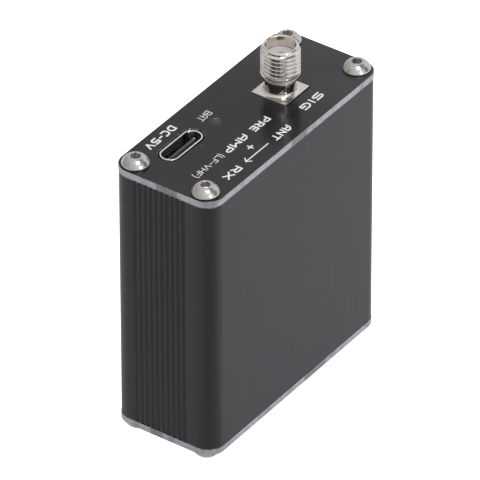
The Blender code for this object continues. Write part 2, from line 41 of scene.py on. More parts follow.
# Case
CORNER_RADIUS = 2.9
NARROW_WALL = 1.85
BROAD_WALL = 1.5
GROOVE_COUNT = 10
GROOVE_PITCH = 1.0
GROOVE_CENTRE_Y = 0.45
GROOVE_REACH = 0.38
GROOVE_DEPTH = 0.2
GROOVE_STEPS = 12
BOSS_RADIUS = 2.3
BOSS_BORE_RADIUS = 1.1
RAIL_WIDTH = 1.0
RAIL_REACH = 1.1
CASE_CHAMFER = 0.07
CASE_WEAR = 0.3
PANEL_CHAMFER = 0.04
PANEL_HOLE_RADIUS = 1.4
PRINT_MARGIN = 0.08
GAP = 0.05

# Screws
HEAD_RADIUS = 2.25
HEAD_HEIGHT = 1.45
HEAD_FLAT = 1.1
HEAD_RIM = 0.3
HEX_ACROSS_FLATS = 1.5
HEX_DEPTH = 1.1
SCREW_LENGTH = 6.0
SCREW_TURNS = (14, 41, 52, 33, 7, 25, 48, 19)

# Coaxial jack
JACK_HEIGHT = 8.45
JACK_BASE_PROUD = 0.2
JACK_BASE_THICKNESS = 1.6
JACK_BASE_SIDE = 6.4
JACK_WINDOW_SIDE = 6.7
JACK_BORE_RADIUS = 2.33
JACK_BORE_DEPTH = 1.95
JACK_LEG_SIDE = 1.0
JACK_LEG_LENGTH = 4.6
JACK_PITCH = 25.4 / 36
JACK_CREST = 3.12
JACK_ROOT = 2.74
# Heights above the panel where the jack's neck gets painted shade
JACK_NECK_SHADE_LOW = 0.5
JACK_NECK_SHADE_HIGH = 2.5
JACK_NECK_RADIUS = 2.45
JACK_NOSE_LENGTH = 0.42
JACK_THREAD_END = 3.58
CONTACT_RADIUS = 0.6
# The nose's radius at depths below the rim, and the collar, groove, ring and neck below the
# thread as radius at heights above the panel
JACK_NOSE = (
    (0, 0), (2.60, 0), (2.64, 0.01), (2.66, 0.04), (2.77, 0.15), (2.79, 0.18), (2.79, 0.20),
    (2.79, 0.34), (2.79, 0.36), (2.76, 0.39),
)
JACK_COLLAR = (
    (3.04, 3.53), (3.12, 3.49), (3.13, 3.46), (3.13, 3.40), (3.11, 3.36), (3.04, 3.31),
    (2.50, 3.04), (2.47, 3.02), (2.45, 3.00), (2.45, 2.98), (2.45, 2.80), (2.45, 2.78),
    (2.55, 2.76), (2.60, 2.74), (2.62, 2.70), (2.62, 2.58), (2.60, 2.54), (2.55, 2.52),
    (2.45, 2.50), (2.45, 2.48), (2.45, 0.88),
)
INSULATOR_RADIUS = 2.05

# Charging port
PORT_WALL = 0.24
PORT_MARGIN = 0.3
PORT_LIP = 0.06
PAD_COUNT = 12
PAD_PITCH = 0.5
TONGUE_WIDTH = 6.7
TONGUE_THICKNESS = 0.5
TONGUE_RECESS = 0.7
TONGUE_LENGTH = 4.6

# Underside: the switch's slot and knob, and the antenna jack
SLOT_SPARE = 2.2
SLOT_WIDTH = 2.0
KNOB_HALF = (0.8, 0.7)
KNOB_GROOVE_PITCH = 0.46
KNOB_GROOVE_DEPTH = 0.16
ANTENNA_HOLE_RADIUS = 3.05
ANTENNA_BODY_LENGTH = 11.5
ANTENNA_COLLAR_RADIUS = 2.7
ANTENNA_BORE_RADIUS = 1.8
ANTENNA_BORE_DEPTH = 12.6
NUT_TEETH = 48
NUT_HOLE_RADIUS = 2.75

# Darker scars on the panels' edges, along X on the broad sides and along Y on the narrow ones
TOP_SCARS = ((-1.6, 2.5), (-3.0, 1.0))
BOTTOM_SCARS = ((2.0, 8.0), (0.0, 2.5))

# The four packages on the board that share a moulding
CHIPS = ("input_amplifier_chip", "output_amplifier_chip", "charger_chip", "voltage_regulator")

# Legend on the top panel: text, left and right end, top and baseline, stroke weight.
# It reads towards -X, with the tops of its letters towards the front.
INK_HEIGHT = 0.02
LEGEND = (
    ("DC-5V", -8.8, -15.8, 6.7, 8.15, 0.30),
    ("BAT", -2.45, -5.25, 4.65, 5.9, 0.13),
    ("SIG", 11.4, 6.3, -6.55, -5.15, 0.30),
    ("PRE", 1.47, -2.75, -3.55, -2.2, 0.28),
    ("AMP", -4.3, -9.7, -3.55, -2.2, 0.28),
    ("(LF-VHF)", -10.6, -17.75, -3.4, -2.3, 0.13),
    ("ANT", 1.47, -2.75, -7.55, -6.2, 0.28),
    ("RX", -11.65, -15.4, -7.55, -6.2, 0.28),
    ("+", -5.9, -7.1, -5.8, -4.6, 0.26),
)
LETTER_GAP = 0.2
ARROW_START = -4.2
ARROW_END = -10.0
ARROW_Y = -6.86
ARROW_HEAD = 0.62
ARROW_WEIGHT = 0.21

# Camera: where it stands from a target on the object's axis, and its shift across the view
CAMERA_TARGET_HEIGHT = 25.45
CAMERA_AZIMUTH = -54.626
CAMERA_ELEVATION = 35.926
CAMERA_ROLL = -0.102
CAMERA_DISTANCE = 1242.2
CAMERA_SIDEWAYS = -1.119
CAMERA_UPWARDS = 0.467
CAMERA_LENS = 603.8

# Floor, in metres, and its own light: near the camera, past the broad face and past the narrow
# one, each with the X or Y where it starts and where it is full, and as the camera sees it
FLOOR_REACH = 6
FLOOR_DROP = 0.00002
FLOOR_COLOUR = (0.5, 0.5, 0.5)
FLOOR_GLOW_NEAR = 0.06
FLOOR_GLOW_BROAD = (-0.030, -0.012, 0.5)
FLOOR_GLOW_NARROW = (-0.020, -0.003, 0.28)
FLOOR_GLOW_SEEN = 1.3
FLOOR_GLOW_TINT = (0.98, 0.975, 1.06)

# The sky's bright side and the dark flags in it: azimuth and elevation, the cosines from there
# where the change starts and ends, and the light at those two
SKY_GLOW = (20, 35, -0.6, 0.9, 0.5, 1.0)
DARK_FLAGS = ((38, 60, 0.88, 0.96, 1.0, 0.3), (35, 22, 0.93, 0.975, 1.0, 0.25))

# Soft lights: name, azimuth and elevation, width and height in metres, and watts
LIGHT_DISTANCE = 0.7
SOFTBOXES = (("key", -20, 66, 0.2, 0.2, 1.2), ("strip", -15, 26, 0.07, 0.32, 0.65))

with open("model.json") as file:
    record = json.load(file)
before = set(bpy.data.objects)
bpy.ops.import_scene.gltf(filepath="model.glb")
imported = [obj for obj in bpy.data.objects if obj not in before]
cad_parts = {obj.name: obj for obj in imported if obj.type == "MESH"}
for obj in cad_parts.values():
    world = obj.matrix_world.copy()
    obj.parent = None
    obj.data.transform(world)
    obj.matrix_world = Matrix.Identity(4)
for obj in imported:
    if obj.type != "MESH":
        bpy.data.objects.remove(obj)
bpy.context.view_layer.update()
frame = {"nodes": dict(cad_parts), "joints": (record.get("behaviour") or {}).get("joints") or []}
pieces = bpy.data.collections.new("pieces")
bpy.context.scene.collection.children.link(pieces)


# ---------------------------------------------------------------- helpers for shapes


def extent(node):
    """A CAD node's lowest and highest corner in millimetres."""
    low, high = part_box(node)
    return low / MM, high / MM


def middle(node):
    low, high = extent(node)
    return (low + high) / 2


def arc(x, y, radius, start, end, steps):
    """Points on an arc, both ends included, with angles in radians."""
    angles = [start + (end - start) * step / steps for step in range(steps + 1)]
    return [(x + radius * cos(angle), y + radius * sin(angle)) for angle in angles]


def circle(x, y, radius, sides, clockwise=False):
    points = arc(x, y, radius, 0, 2 * pi, sides)[:-1]
    return points[::-1] if clockwise else points


def rounded_rectangle(x, y, width, height, radius, steps=10, clockwise=False):
    points = []
    for turn, (side_x, side_y) in enumerate(((1, 1), (-1, 1), (-1, -1), (1, -1))):
        corner_x = x + side_x * (width / 2 - radius)
        corner_y = y + side_y * (height / 2 - radius)
        points += arc(corner_x, corner_y, radius, turn * pi / 2, (turn + 1) * pi / 2, steps)
    return points[::-1] if clockwise else points


def inset(points, distance):
    """A loop moved to the left of its own direction, which is into the material here."""
    moved = []
    for index, here in enumerate(points):
        before = Vector(here) - Vector(points[index - 1])
        after = Vector(points[(index + 1) % len(points)]) - Vector(here)
        first = Vector((-before.y, before.x)).normalized()
        second = Vector((-after.y, after.x)).normalized()
        shift = (first + second) / max(1 + first.dot(second), 0.4)
        moved.append(Vector(here) + distance * shift)
    return moved


def finished(name, built, surfaces, sharp=30):
    """The piece made from a bmesh in millimetres: welded, outward, smooth but for real edges."""
    bmesh.ops.remove_doubles(built, verts=built.verts, dist=1e-5)
    bmesh.ops.dissolve_degenerate(built, edges=built.edges, dist=1e-6)
    bmesh.ops.recalc_face_normals(built, faces=built.faces)
    bmesh.ops.scale(built, vec=(MM, MM, MM), verts=built.verts)
    mesh = bpy.data.meshes.new(name)
    built.to_mesh(mesh)
    built.free()
    mesh.shade_smooth()
    mesh.set_sharp_from_angle(angle=radians(sharp))
    for surface in surfaces:
        mesh.materials.append(surface)
    obj = bpy.data.objects.new(name, mesh)
    pieces.objects.link(obj)
    return obj


def loft(name, loops, stations, surfaces, hole_share=0.4):
    """Loops carried up through (inset, height, wear, surface) stations, with flat caps.

    Outer loops run counter-clockwise and holes clockwise, so that inset moves into the
    material. A station's surface covers the band that ends at it. The first loop takes the
    whole inset and wear, and the holes take a share of them.
    """
    built = bmesh.new()
    wear = built.verts.layers.float.new("wear")
    ends = ([], [])
    for number, points in enumerate(loops):
        share = hole_share if number else 1
        rings = []
        for distance, height, worn, _ in stations:
            moved = inset(points, distance * share)
            ring = [built.verts.new((x, y, height)) for x, y in moved]
            for vertex in ring:
                vertex[wear] = worn * share
            rings.append(ring)
        count = len(points)
        for step, (low, high) in enumerate(zip(rings, rings[1:]), start=1):
            for index in range(count):
                other = (index + 1) % count
                face = built.faces.new((low[index], low[other], high[other], high[index]))
                face.material_index = stations[step][3]
        for ring, edges in ((rings[0], ends[0]), (rings[-1], ends[1])):
            for index in range(count):
                edges.append(built.edges.get((ring[index], ring[(index + 1) % count])))
    for edges, up in zip(ends, (-1, 1)):
        filled = bmesh.ops.triangle_fill(
            built, use_beauty=True, use_dissolve=False, edges=edges, normal=(0, 0, up)
        )
        for item in filled["geom"]:
            if isinstance(item, bmesh.types.BMFace):
                item.material_index = 0
    return finished(name, built, surfaces)


def turn_rings(built, rings, ring_shape=False):
    """Skin rows of vertices round an axis. A row with one vertex is a pole."""
    pairs = list(zip(rings, rings[1:]))
    if ring_shape:
        pairs.append((rings[-1], rings[0]))
    for high, low in pairs:
        count = max(len(high), len(low))
        for index in range(count):
            other = (index + 1) % count
            corners = []
            for row, slot in ((high, index), (low, index), (low, other), (high, other)):
                vertex = row[slot % len(row)]
                if vertex not in corners:
                    corners.append(vertex)
            if len(corners) > 2:
                built.faces.new(corners)


def turned_bmesh(profile, sides, centre=(0, 0, 0), ring_shape=False):
    """A solid of revolution from (radius, height) points that run down its outer side."""
    built = bmesh.new()
    rings = []
    for radius, height in profile:
        if radius < 1e-6:
            rings.append([built.verts.new((centre[0], centre[1], centre[2] + height))])
            continue
        points = circle(centre[0], centre[1], radius, sides)
        rings.append([built.verts.new((x, y, centre[2] + height)) for x, y in points])
    turn_rings(built, rings, ring_shape)
    return built


def turned(name, profile, sides, centre, surface, ring_shape=False):
    return finished(name, turned_bmesh(profile, sides, centre, ring_shape), [surface])


def thread_shape(phase):
    """How far a 60-degree thread stands out at a phase of its turn, from 0 at the root to 1."""
    along = abs((phase % 1) - 0.5) * 2
    return min(1, max(0, (along - 0.24) / 0.62))


def threaded_bmesh(above, below, crest, root, pitch, span, sides, rows=16):
    """A turned solid whose middle is a real helical thread.

    above and below are the (radius, height) points over and under the thread. The thread
    fades in and out over nearly half a turn at each end.
    """
    high, low = span
    built = bmesh.new()
    fade = pitch * 0.45

    def ring(radius, height):
        if radius < 1e-6:
            return [built.verts.new((0, 0, height))]
        return [built.verts.new((x, y, height)) for x, y in circle(0, 0, radius, sides)]

    upper = [ring(radius, height) for radius, height in above]
    lower = [ring(radius, height) for radius, height in below]
    upper.append(ring(root, high))
    lower.insert(0, ring(root, low))
    turn_rings(built, upper)
    turn_rings(built, lower)
    turns = int((high - low) / pitch) + 2
    columns = []
    for side in range(sides + 1):
        angle = 2 * pi * side / sides
        column = []
        for row in range(turns * rows + 1):
            height = high + pitch - (row / rows + side / sides) * pitch
            place = min(high, max(low, height))
            depth = min(1, (high - place) / fade, (place - low) / fade)
            radius = root + (crest - root) * depth * thread_shape(row / rows)
            column.append(built.verts.new((radius * cos(angle), radius * sin(angle), place)))
        columns.append(column)
    for first, second in zip(columns, columns[1:]):
        for row in range(turns * rows):
            built.faces.new((first[row], first[row + 1], second[row + 1], second[row]))
    bmesh.ops.remove_doubles(built, verts=built.verts, dist=1e-5)
    bmesh.ops.dissolve_degenerate(built, edges=built.edges, dist=1e-6)
    return built


def box_bmesh(low, high, ease=0.0, segments=2):
    """A box between two corners, its edges eased."""
    built = bmesh.new()
    bmesh.ops.create_cube(built, size=1)
    low, high = Vector(low), Vector(high)
    bmesh.ops.scale(built, vec=high - low, verts=built.verts)
    bmesh.ops.translate(built, vec=(low + high) / 2, verts=built.verts)
    if ease:
        bmesh.ops.bevel(
            built, geom=built.edges, offset=ease, segments=segments, profile=0.5, affect="EDGES"
        )
    return built


def pillar_bmesh(x, y, half_x, half_y, low, high, ease=0.0, segments=2):
    """A box round a vertical axis, from one height to another."""
    corner = (x - half_x, y - half_y, low)
    return box_bmesh(corner, (x + half_x, y + half_y, high), ease, segments)


def flipped_bmesh(built, place):
    """A bmesh turned upside down and set at a place."""
    flip = Matrix.Rotation(pi, 3, "X")
    bmesh.ops.rotate(built, cent=(0, 0, 0), matrix=flip, verts=built.verts)
    bmesh.ops.translate(built, vec=place, verts=built.verts)
    return built


def gathered(shapes):
    """Several bmeshes as one."""
    built = bmesh.new()
    shared = bpy.data.meshes.new("shared")
    for shape in shapes:
        shape.to_mesh(shared)
        shape.free()
        built.from_mesh(shared)
    bpy.data.meshes.remove(shared)
    return built


def combine(obj, built, operation, sharp=30):
    """Add or take away a solid, and keep the result as the piece's own mesh."""
    tool = finished("tool", built, [])
    modifier = obj.modifiers.new("Combine", "BOOLEAN")
    modifier.operation = operation
    modifier.solver = "EXACT"
    modifier.object = tool
    bpy.context.view_layer.update()
    graph = bpy.context.evaluated_depsgraph_get()
    mesh = bpy.data.meshes.new_from_object(obj.evaluated_get(graph))
    obj.modifiers.clear()
    old, obj.data = obj.data, mesh
    bpy.data.meshes.remove(old)
    mesh.name = obj.name
    bpy.data.objects.remove(tool, do_unlink=True)
    clean = bmesh.new()
    clean.from_mesh(mesh)
    bmesh.ops.remove_doubles(clean, verts=clean.verts, dist=2e-8)
    clean.to_mesh(mesh)
    clean.free()
    mesh.shade_smooth()
    mesh.set_sharp_from_angle(angle=radians(sharp))
    return obj


def installed(obj, slot, *nodes, body="case"):
    """Set a piece on its body, in place of its CAD nodes. The slot is not used."""
    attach(obj, body)
    if nodes:
        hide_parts(*nodes)
    return obj


# ---------------------------------------------------------------- helpers for materials


def add_node(tree, kind, inputs=None, **settings):
    """A shader node with its settings made and its inputs set or linked."""
    made = tree.nodes.new("ShaderNode" + kind)
    for setting, value in settings.items():
        setattr(made, setting, value)
    for socket, value in (inputs or {}).items():
        if isinstance(value, bpy.types.NodeSocket):
            tree.links.new(value, made.inputs[socket])
        else:
            made.inputs[socket].default_value = value
    return made


def ramp(tree, source, low, high, to_low=0.0, to_high=1.0):
    """A value carried from one range to another and held at its ends."""
    ends = {"From Min": low, "From Max": high, "To Min": to_low, "To Max": to_high}
    return add_node(tree, "MapRange", {"Value": source, **ends}).outputs[0]


class Surface:
    """A Principled material being built, with its coordinates in millimetres."""

    def __init__(self, name, colour, roughness, metallic=0.0, **constants):
        self.material = bpy.data.materials.new(name)
        self.material.use_nodes = True
        self.tree = self.material.node_tree
        self.shader = self.tree.nodes["Principled BSDF"]
        self.colour = colour
        self.shader.inputs["Base Color"].default_value = (*colour, 1)
        self.shader.inputs["Roughness"].default_value = roughness
        self.shader.inputs["Metallic"].default_value = metallic
        for socket, value in constants.items():
            self.shader.inputs[socket.replace("_", " ")].default_value = value
        place = self.node("TexCoord").outputs["Object"]
        self.place = self.node("Mapping", {"Vector": place, "Scale": (1000, 1000, 1000)}).outputs[0]
        self.height = None

    def node(self, kind, inputs=None, **settings):
        return add_node(self.tree, kind, inputs, **settings)

    def stretched(self, stretch):
        return self.node("Mapping", {"Vector": self.place, "Scale": stretch}).outputs[0]

    def noise(self, size, detail=3, roughness=0.55, stretch=(1, 1, 1)):
        """Noise whose blobs are about so many millimetres across."""
        values = {"Vector": self.stretched(stretch), "Scale": 1 / size}
        values |= {"Detail": detail, "Roughness": roughness}
        return self.node("TexNoise", values).outputs["Fac"]

    def cells(self, size, feature="F1"):
        values = {"Vector": self.stretched((1, 1, 1)), "Scale": 1 / size}
        return self.node("TexVoronoi", values, feature=feature).outputs["Distance"]

    def span(self, source, low, high, to_low=0.0, to_high=1.0):
        return ramp(self.tree, source, low, high, to_low, to_high)

    def maths(self, operation, first, second=0.0):
        return self.node("Math", {0: first, 1: second}, operation=operation).outputs[0]

    def between(self, source, low, high, soft_low, soft_high):
        """1 between low and high, down to 0 over a soft distance inside each end."""
        rising = self.span(source, low, low + soft_low)
        return self.maths("MULTIPLY", rising, self.span(source, high, high - soft_high))

    def attribute(self, name):
        return self.node("Attribute", attribute_name=name).outputs["Fac"]

    def axis(self, name):
        """One coordinate in millimetres."""
        return self.node("SeparateXYZ", {0: self.place}).outputs[name]

    def tint(self, factor, colour):
        """Lay another colour over the base colour where factor says."""
        socket = self.shader.inputs["Base Color"]
        mix = self.node("Mix", data_type="RGBA")
        if socket.is_linked:
            self.tree.links.new(socket.links[0].from_socket, mix.inputs[6])
        else:
            mix.inputs[6].default_value = (*self.colour, 1)
        mix.inputs[7].default_value = (*colour, 1)
        self.tree.links.new(factor, mix.inputs[0])
        self.tree.links.new(mix.outputs[2], socket)

    def clouds(self, source, low, high, share, colour):
        """Lay up to a share of another colour where source climbs from low to high."""
        self.tint(self.span(source, low, high, 0, share), colour)

    def set(self, socket, source):
        self.tree.links.new(source, self.shader.inputs[socket])

    def rough(self, source, low, high):
        self.set("Roughness", self.span(source, 0.3, 0.7, low, high))

    def bump(self, source, depth):
        """Raise the surface by up to so many millimetres where source is 1."""
        values = {"Height": source, "Distance": depth * MM, "Strength": 1.0}
        if self.height:
            values["Normal"] = self.height
        self.height = self.node("Bump", values).outputs[0]
        self.set("Normal", self.height)


def clouded(name, colour, cloud, patch, sheen, depth, grain=None, gloss=None, **constants):
    """A simple surface: clouds of a second colour, an uneven gloss and a fine grain.

    cloud, grain and gloss are a noise's size and detail, and the last two are the clouds
    themselves when left out. patch is what Surface.clouds wants, sheen the lowest and highest
    roughness, and depth the height of the grain.
    """
    made = Surface(name, colour, sum(sheen) / 2, **constants)
    clouds = made.noise(*cloud)
    made.clouds(clouds, *patch)
    fine = made.noise(*grain) if grain else clouds
    made.rough(made.noise(*gloss) if gloss else clouds, *sheen)
    made.bump(fine, depth)
    return made.material


def anodised_case():
    """Dyed anodising over an extrusion: matt, faintly drawn along its length, paler at edges."""
    made = Surface("black_anodised_case", (0.0068, 0.0066, 0.0100), 0.4, Specular_IOR_Level=0.5)
    grain = made.noise(0.05, 2)
    drawn = made.noise(0.25, 3, stretch=(1, 1, 0.02))
    made.clouds(made.noise(9, 3), 0.35, 0.7, 0.4, (0.0105, 0.0102, 0.0125))
    made.clouds(drawn, 0.45, 0.75, 0.3, (0.0045, 0.0045, 0.0055))
    edge = made.maths("MULTIPLY", made.attribute("wear"), made.span(made.noise(0.5, 4), 0.3, 0.5))
    made.tint(edge, (0.62, 0.62, 0.63))
    made.set("Metallic", made.span(edge, 0.3, 0.6))
    mottle = made.maths("ADD", made.span(grain, 0, 1, 0, 0.7), made.span(drawn, 0, 1, 0, 0.3))
    made.rough(mottle, 0.34, 0.44)
    made.bump(grain, 0.004)
    made.bump(drawn, 0.0012)
    return made.material


def printed_panel():
    """Black semi-gloss print on a metal plate, a little rough at its edge, with a few specks and a
    painted reflection that lightens it towards +X.
    """
    made = Surface("black_panel_print", (0.0085, 0.0082, 0.0095), 0.2, Specular_IOR_Level=0.38)
    # Painted reflection: the print is lightened towards +X, standing in for the brighter reflection
    # on that side
    made.tint(made.span(made.axis("X"), 3, 15), (0.034, 0.031, 0.037))
    made.clouds(made.noise(14, 2), 0.4, 0.6, 0.5, (0.0150, 0.0140, 0.0165))
    speck = made.span(made.cells(2.3), 0.05, 0.03)
    few = made.span(made.noise(5, 1), 0.5, 0.6)
    made.tint(made.maths("MULTIPLY", speck, few), (0.22, 0.22, 0.22))
    uneven = made.span(made.noise(0.3, 4), 0.35, 0.6, 0.55, 1.7)
    ragged = made.maths("MULTIPLY", made.attribute("wear"), uneven)
    bare = made.span(ragged, 0.86, 0.95)
    made.tint(bare, (0.42, 0.42, 0.43))
    made.set("Metallic", bare)
    made.rough(made.noise(6, 3), 0.15, 0.24)
    made.bump(made.noise(0.35, 2), 0.0016)
    made.bump(made.noise(0.06, 2), 0.0012)
    return made.material


def milled_edge(name, broad_scar, narrow_scar):
    """Bare milled aluminium with cutter marks, and darker scars where the plate was broken out.

    A scar is the low and high end of its stretch, along X on the broad sides and along Y on
    the narrow ones.
    """
    made = Surface(name, (0.47, 0.47, 0.48), 0.42, 1.0)
    marks = made.noise(0.12, 3, stretch=(1, 1, 0.12))
    made.clouds(made.noise(2.2, 4, 0.6), 0.5, 0.66, 0.7, (0.26, 0.26, 0.27))
    made.clouds(marks, 0.5, 0.7, 0.5, (0.24, 0.24, 0.25))
    _, high = extent("top_panel")
    scars = []
    for face, across, along, ends in (
        (high.y, "Y", "X", broad_scar),
        (high.x, "X", "Y", narrow_scar),
    ):
        side = made.span(made.maths("ABSOLUTE", made.axis(across)), face - 0.2, face - 0.1)
        stretch = made.between(made.axis(along), *ends, 0.1, 0.1)
        scars.append(made.maths("MULTIPLY", side, stretch))
    scar = made.maths("MAXIMUM", *scars)
    made.clouds(scar, 0, 1, 0.6, (0.16, 0.16, 0.165))
    made.rough(marks, 0.34, 0.54)
    made.bump(marks, 0.006)
    made.bump(scar, 0.02)
    return made.material


def screw_steel():
    """Stainless heads with a radial satin turning finish and small handling marks."""
    made = Surface("stainless_screw", (0.56, 0.545, 0.525), 0.2, 1.0, Anisotropic=0.35)
    grain = made.noise(0.06, 3)
    made.clouds(made.noise(0.9, 4), 0.5, 0.7, 0.35, (0.40, 0.38, 0.36))
    made.rough(grain, 0.15, 0.25)
    made.bump(grain, 0.0012)
    made.bump(made.noise(0.6, 2), 0.006)
    tangent = made.node("Tangent", direction_type="RADIAL", axis="Z")
    made.set("Tangent", tangent.outputs[0])
    return made.material


def nickel(name, colour):
    """Bright plating, slightly smoky, with fine ripples left by turning and painted shade on the
    jack's neck.
    """
    made = Surface(name, colour, 0.1, 1.0)
    made.clouds(made.noise(0.7, 4), 0.52, 0.72, 0.45, (0.48, 0.45, 0.42))
    _, panel_high = extent("top_panel")
    # Painted shade: the plating is darkened on the jack's neck under the thread, which also darkens
    # its reflection in the panel
    low, high = panel_high.z + JACK_NECK_SHADE_LOW, panel_high.z + JACK_NECK_SHADE_HIGH
    neck = made.between(made.axis("Z"), low, high, 0.5, 0.3)
    made.clouds(neck, 0, 1, 0.8, (0.24, 0.22, 0.205))
    made.rough(made.noise(0.25, 3), 0.05, 0.15)
    made.bump(made.noise(0.08, 2, stretch=(0.3, 0.3, 3)), 0.0006)
    made.bump(made.noise(0.9, 2), 0.004)
    return made.material


def fluoropolymer():
    patch = (0.4, 0.7, 0.5, (0.52, 0.48, 0.44))
    return clouded(
        "fluoropolymer", (0.62, 0.585, 0.55), (0.8, 4), patch, (0.34, 0.52), 0.004,
        grain=(0.09, 2), Subsurface_Weight=0.15, Subsurface_Radius=(0.0004, 0.0003, 0.0002),
    )


def gilt():
    patch = (0.5, 0.7, 0.5, (0.48, 0.38, 0.22))
    return clouded(
        "gilt_contact", (0.66, 0.52, 0.29), (0.4, 4), patch, (0.18, 0.34), 0.002,
        grain=(0.06, 2), metallic=1.0,
    )


def black_moulding():
    spark = (0.09, 3)
    patch = (0.45, 0.7, 0.6, (0.036, 0.036, 0.038))
    return clouded(
        "black_moulding", (0.024, 0.024, 0.026), (1.4, 3), patch, (0.38, 0.6), 0.006,
        grain=spark, gloss=spark,
    )


def port_moulding():
    """Grey-black glass-filled moulding, lit up a little where the tongue is worn."""
    patch = (0.45, 0.7, 0.6, (0.11, 0.11, 0.115))
    return clouded(
        "port_moulding", (0.055, 0.055, 0.058), (0.6, 3), patch, (0.32, 0.5), 0.003,
        grain=(0.05, 2), gloss=(0.15, 2),
    )


def legend_ink():
    patch = (0.55, 0.75, 0.35, (0.66, 0.66, 0.67))
    return clouded("legend_ink", (0.82, 0.82, 0.82), (0.12, 3), patch, (0.42, 0.6), 0.004)


def smoky_window():
    patch = (0.4, 0.65, 1, (0.036, 0.036, 0.039))
    return clouded(
        "smoky_window", (0.024, 0.024, 0.0265), (0.5, 3), patch, (0.18, 0.32), 0.004,
        grain=(0.2, 2),
    )


def circuit_board():
    """Solder mask over copper traces on both faces, and bare glass laminate at the edges."""
    made = Surface("green_board", (0.016, 0.105, 0.045), 0.3)
    line = made.span(made.cells(2.6, feature="DISTANCE_TO_EDGE"), 0.09, 0.07)
    pour = made.span(made.noise(7, 1), 0.5, 0.52)
    made.tint(line, (0.03, 0.20, 0.085))
    made.tint(pour, (0.024, 0.155, 0.066))
    made.tint(made.span(made.cells(1.9), 0.13, 0.11), (0.50, 0.36, 0.12))
    normal = made.node("NewGeometry").outputs["Normal"]
    facing = made.maths("ABSOLUTE", made.node("SeparateXYZ", {0: normal}).outputs["Y"])
    made.tint(made.span(facing, 0.6, 0.4), (0.34, 0.33, 0.16))
    made.rough(made.noise(0.7, 3), 0.24, 0.42)
    made.bump(made.maths("MAXIMUM", line, pour), 0.03)
    return made.material


def silver_pouch():
    """Laminated foil with soft creases."""
    made = Surface("silver_pouch", (0.60, 0.61, 0.63), 0.34, 0.9)
    crease = made.noise(2.2, 5, 0.65)
    made.clouds(crease, 0.5, 0.72, 0.5, (0.42, 0.43, 0.45))
    made.rough(crease, 0.26, 0.46)
    made.bump(crease, 0.25)
    made.bump(made.noise(0.3, 2), 0.012)
    return made.material


def foam_tape():
    made = Surface("foam_tape", (0.60, 0.60, 0.57), 0.85)
    pores = made.cells(0.22)
    made.tint(made.span(pores, 0.35, 0.1), (0.40, 0.40, 0.37))
    made.rough(made.noise(0.5, 2), 0.78, 0.95)
    made.bump(pores, 0.05)
    return made.material


def white_nylon():
    patch = (0.45, 0.7, 0.5, (0.60, 0.58, 0.50))
    return clouded(
        "white_moulding", (0.68, 0.665, 0.60), (1.6, 3), patch, (0.34, 0.52), 0.006,
        grain=(0.12, 2), Subsurface_Weight=0.1,
    )


def wire_skin(name, colour, worn):
    patch = (0.45, 0.7, 1, worn)
    drawn = (0.08, 2, 0.55, (1, 1, 0.2))
    return clouded(name, colour, (0.9, 3), patch, (0.34, 0.52), 0.006, grain=drawn)


def chip_epoxy():
    patch = (0.5, 0.75, 1, (0.036, 0.035, 0.034))
    return clouded("chip_epoxy", (0.020, 0.020, 0.021), (0.07, 3), patch, (0.5, 0.72), 0.008)


def ferrite():
    patch = (0.5, 0.7, 1, (0.14, 0.135, 0.13))
    return clouded("ferrite", (0.075, 0.075, 0.08), (0.12, 4), patch, (0.6, 0.82), 0.02)


def banded(name, colour, band_colour, node, band):
    """A small component with a band of another colour, or tinned ends where the band is narrow."""
    low, high = extent(node)
    made = Surface(name, colour, 0.45)
    along = made.span(made.axis("X"), low.x, high.x)
    made.clouds(made.noise(0.4, 3), 0.45, 0.7, 0.5, tuple(0.75 * share for share in colour))
    ends = made.span(along, band, band - 0.01)
    if band < 0.25:
        ends = made.maths("MAXIMUM", ends, made.span(along, 1 - band, 1.01 - band))
    made.tint(ends, band_colour)
    made.rough(made.noise(0.15, 3), 0.36, 0.55)
    made.bump(made.noise(0.09, 3), 0.008)
    return made.material


def switch_steel():
    rolled = (0.15, 3, 0.55, (0.1, 1, 1))
    patch = (0.5, 0.7, 0.5, (0.40, 0.39, 0.37))
    return clouded(
        "switch_steel", (0.58, 0.575, 0.56), (1.2, 4), patch, (0.25, 0.42), 0.004,
        grain=rolled, gloss=rolled, metallic=1.0,
    )


def lamp_phosphor():
    patch = (0.45, 0.65, 1, (0.86, 0.84, 0.70))
    return clouded("lamp_phosphor", (0.80, 0.72, 0.34), (0.2, 3), patch, (0.3, 0.5), 0.01)


# ---------------------------------------------------------------- case and panels


def screw_places():
    return [middle(f"top_screw_{number}") for number in range(1, 5)]


def grooved_side(face):
    """The +X side from low y to high y, with its soft grooves."""
    points = []
    for groove in range(GROOVE_COUNT):
        centre = GROOVE_CENTRE_Y + (groove - (GROOVE_COUNT - 1) / 2) * GROOVE_PITCH
        for step in range(GROOVE_STEPS + 1):
            across = (2 * step / GROOVE_STEPS - 1) * GROOVE_REACH
            depth = GROOVE_DEPTH * (1 + cos(pi * across / GROOVE_REACH)) / 2
            points.append((face - depth, centre + across))
    return points


def mirrored(points):
    return [(-x, y) for x, y in reversed(points)]


def case_outline(half_width, half_depth):
    x = half_width - CORNER_RADIUS
    y = half_depth - CORNER_RADIUS
    right = arc(x, -y, CORNER_RADIUS, -pi / 2, 0, 16)
    right += grooved_side(half_width)
    right += arc(x, y, CORNER_RADIUS, 0, pi / 2, 16)
    return right + mirrored(right)


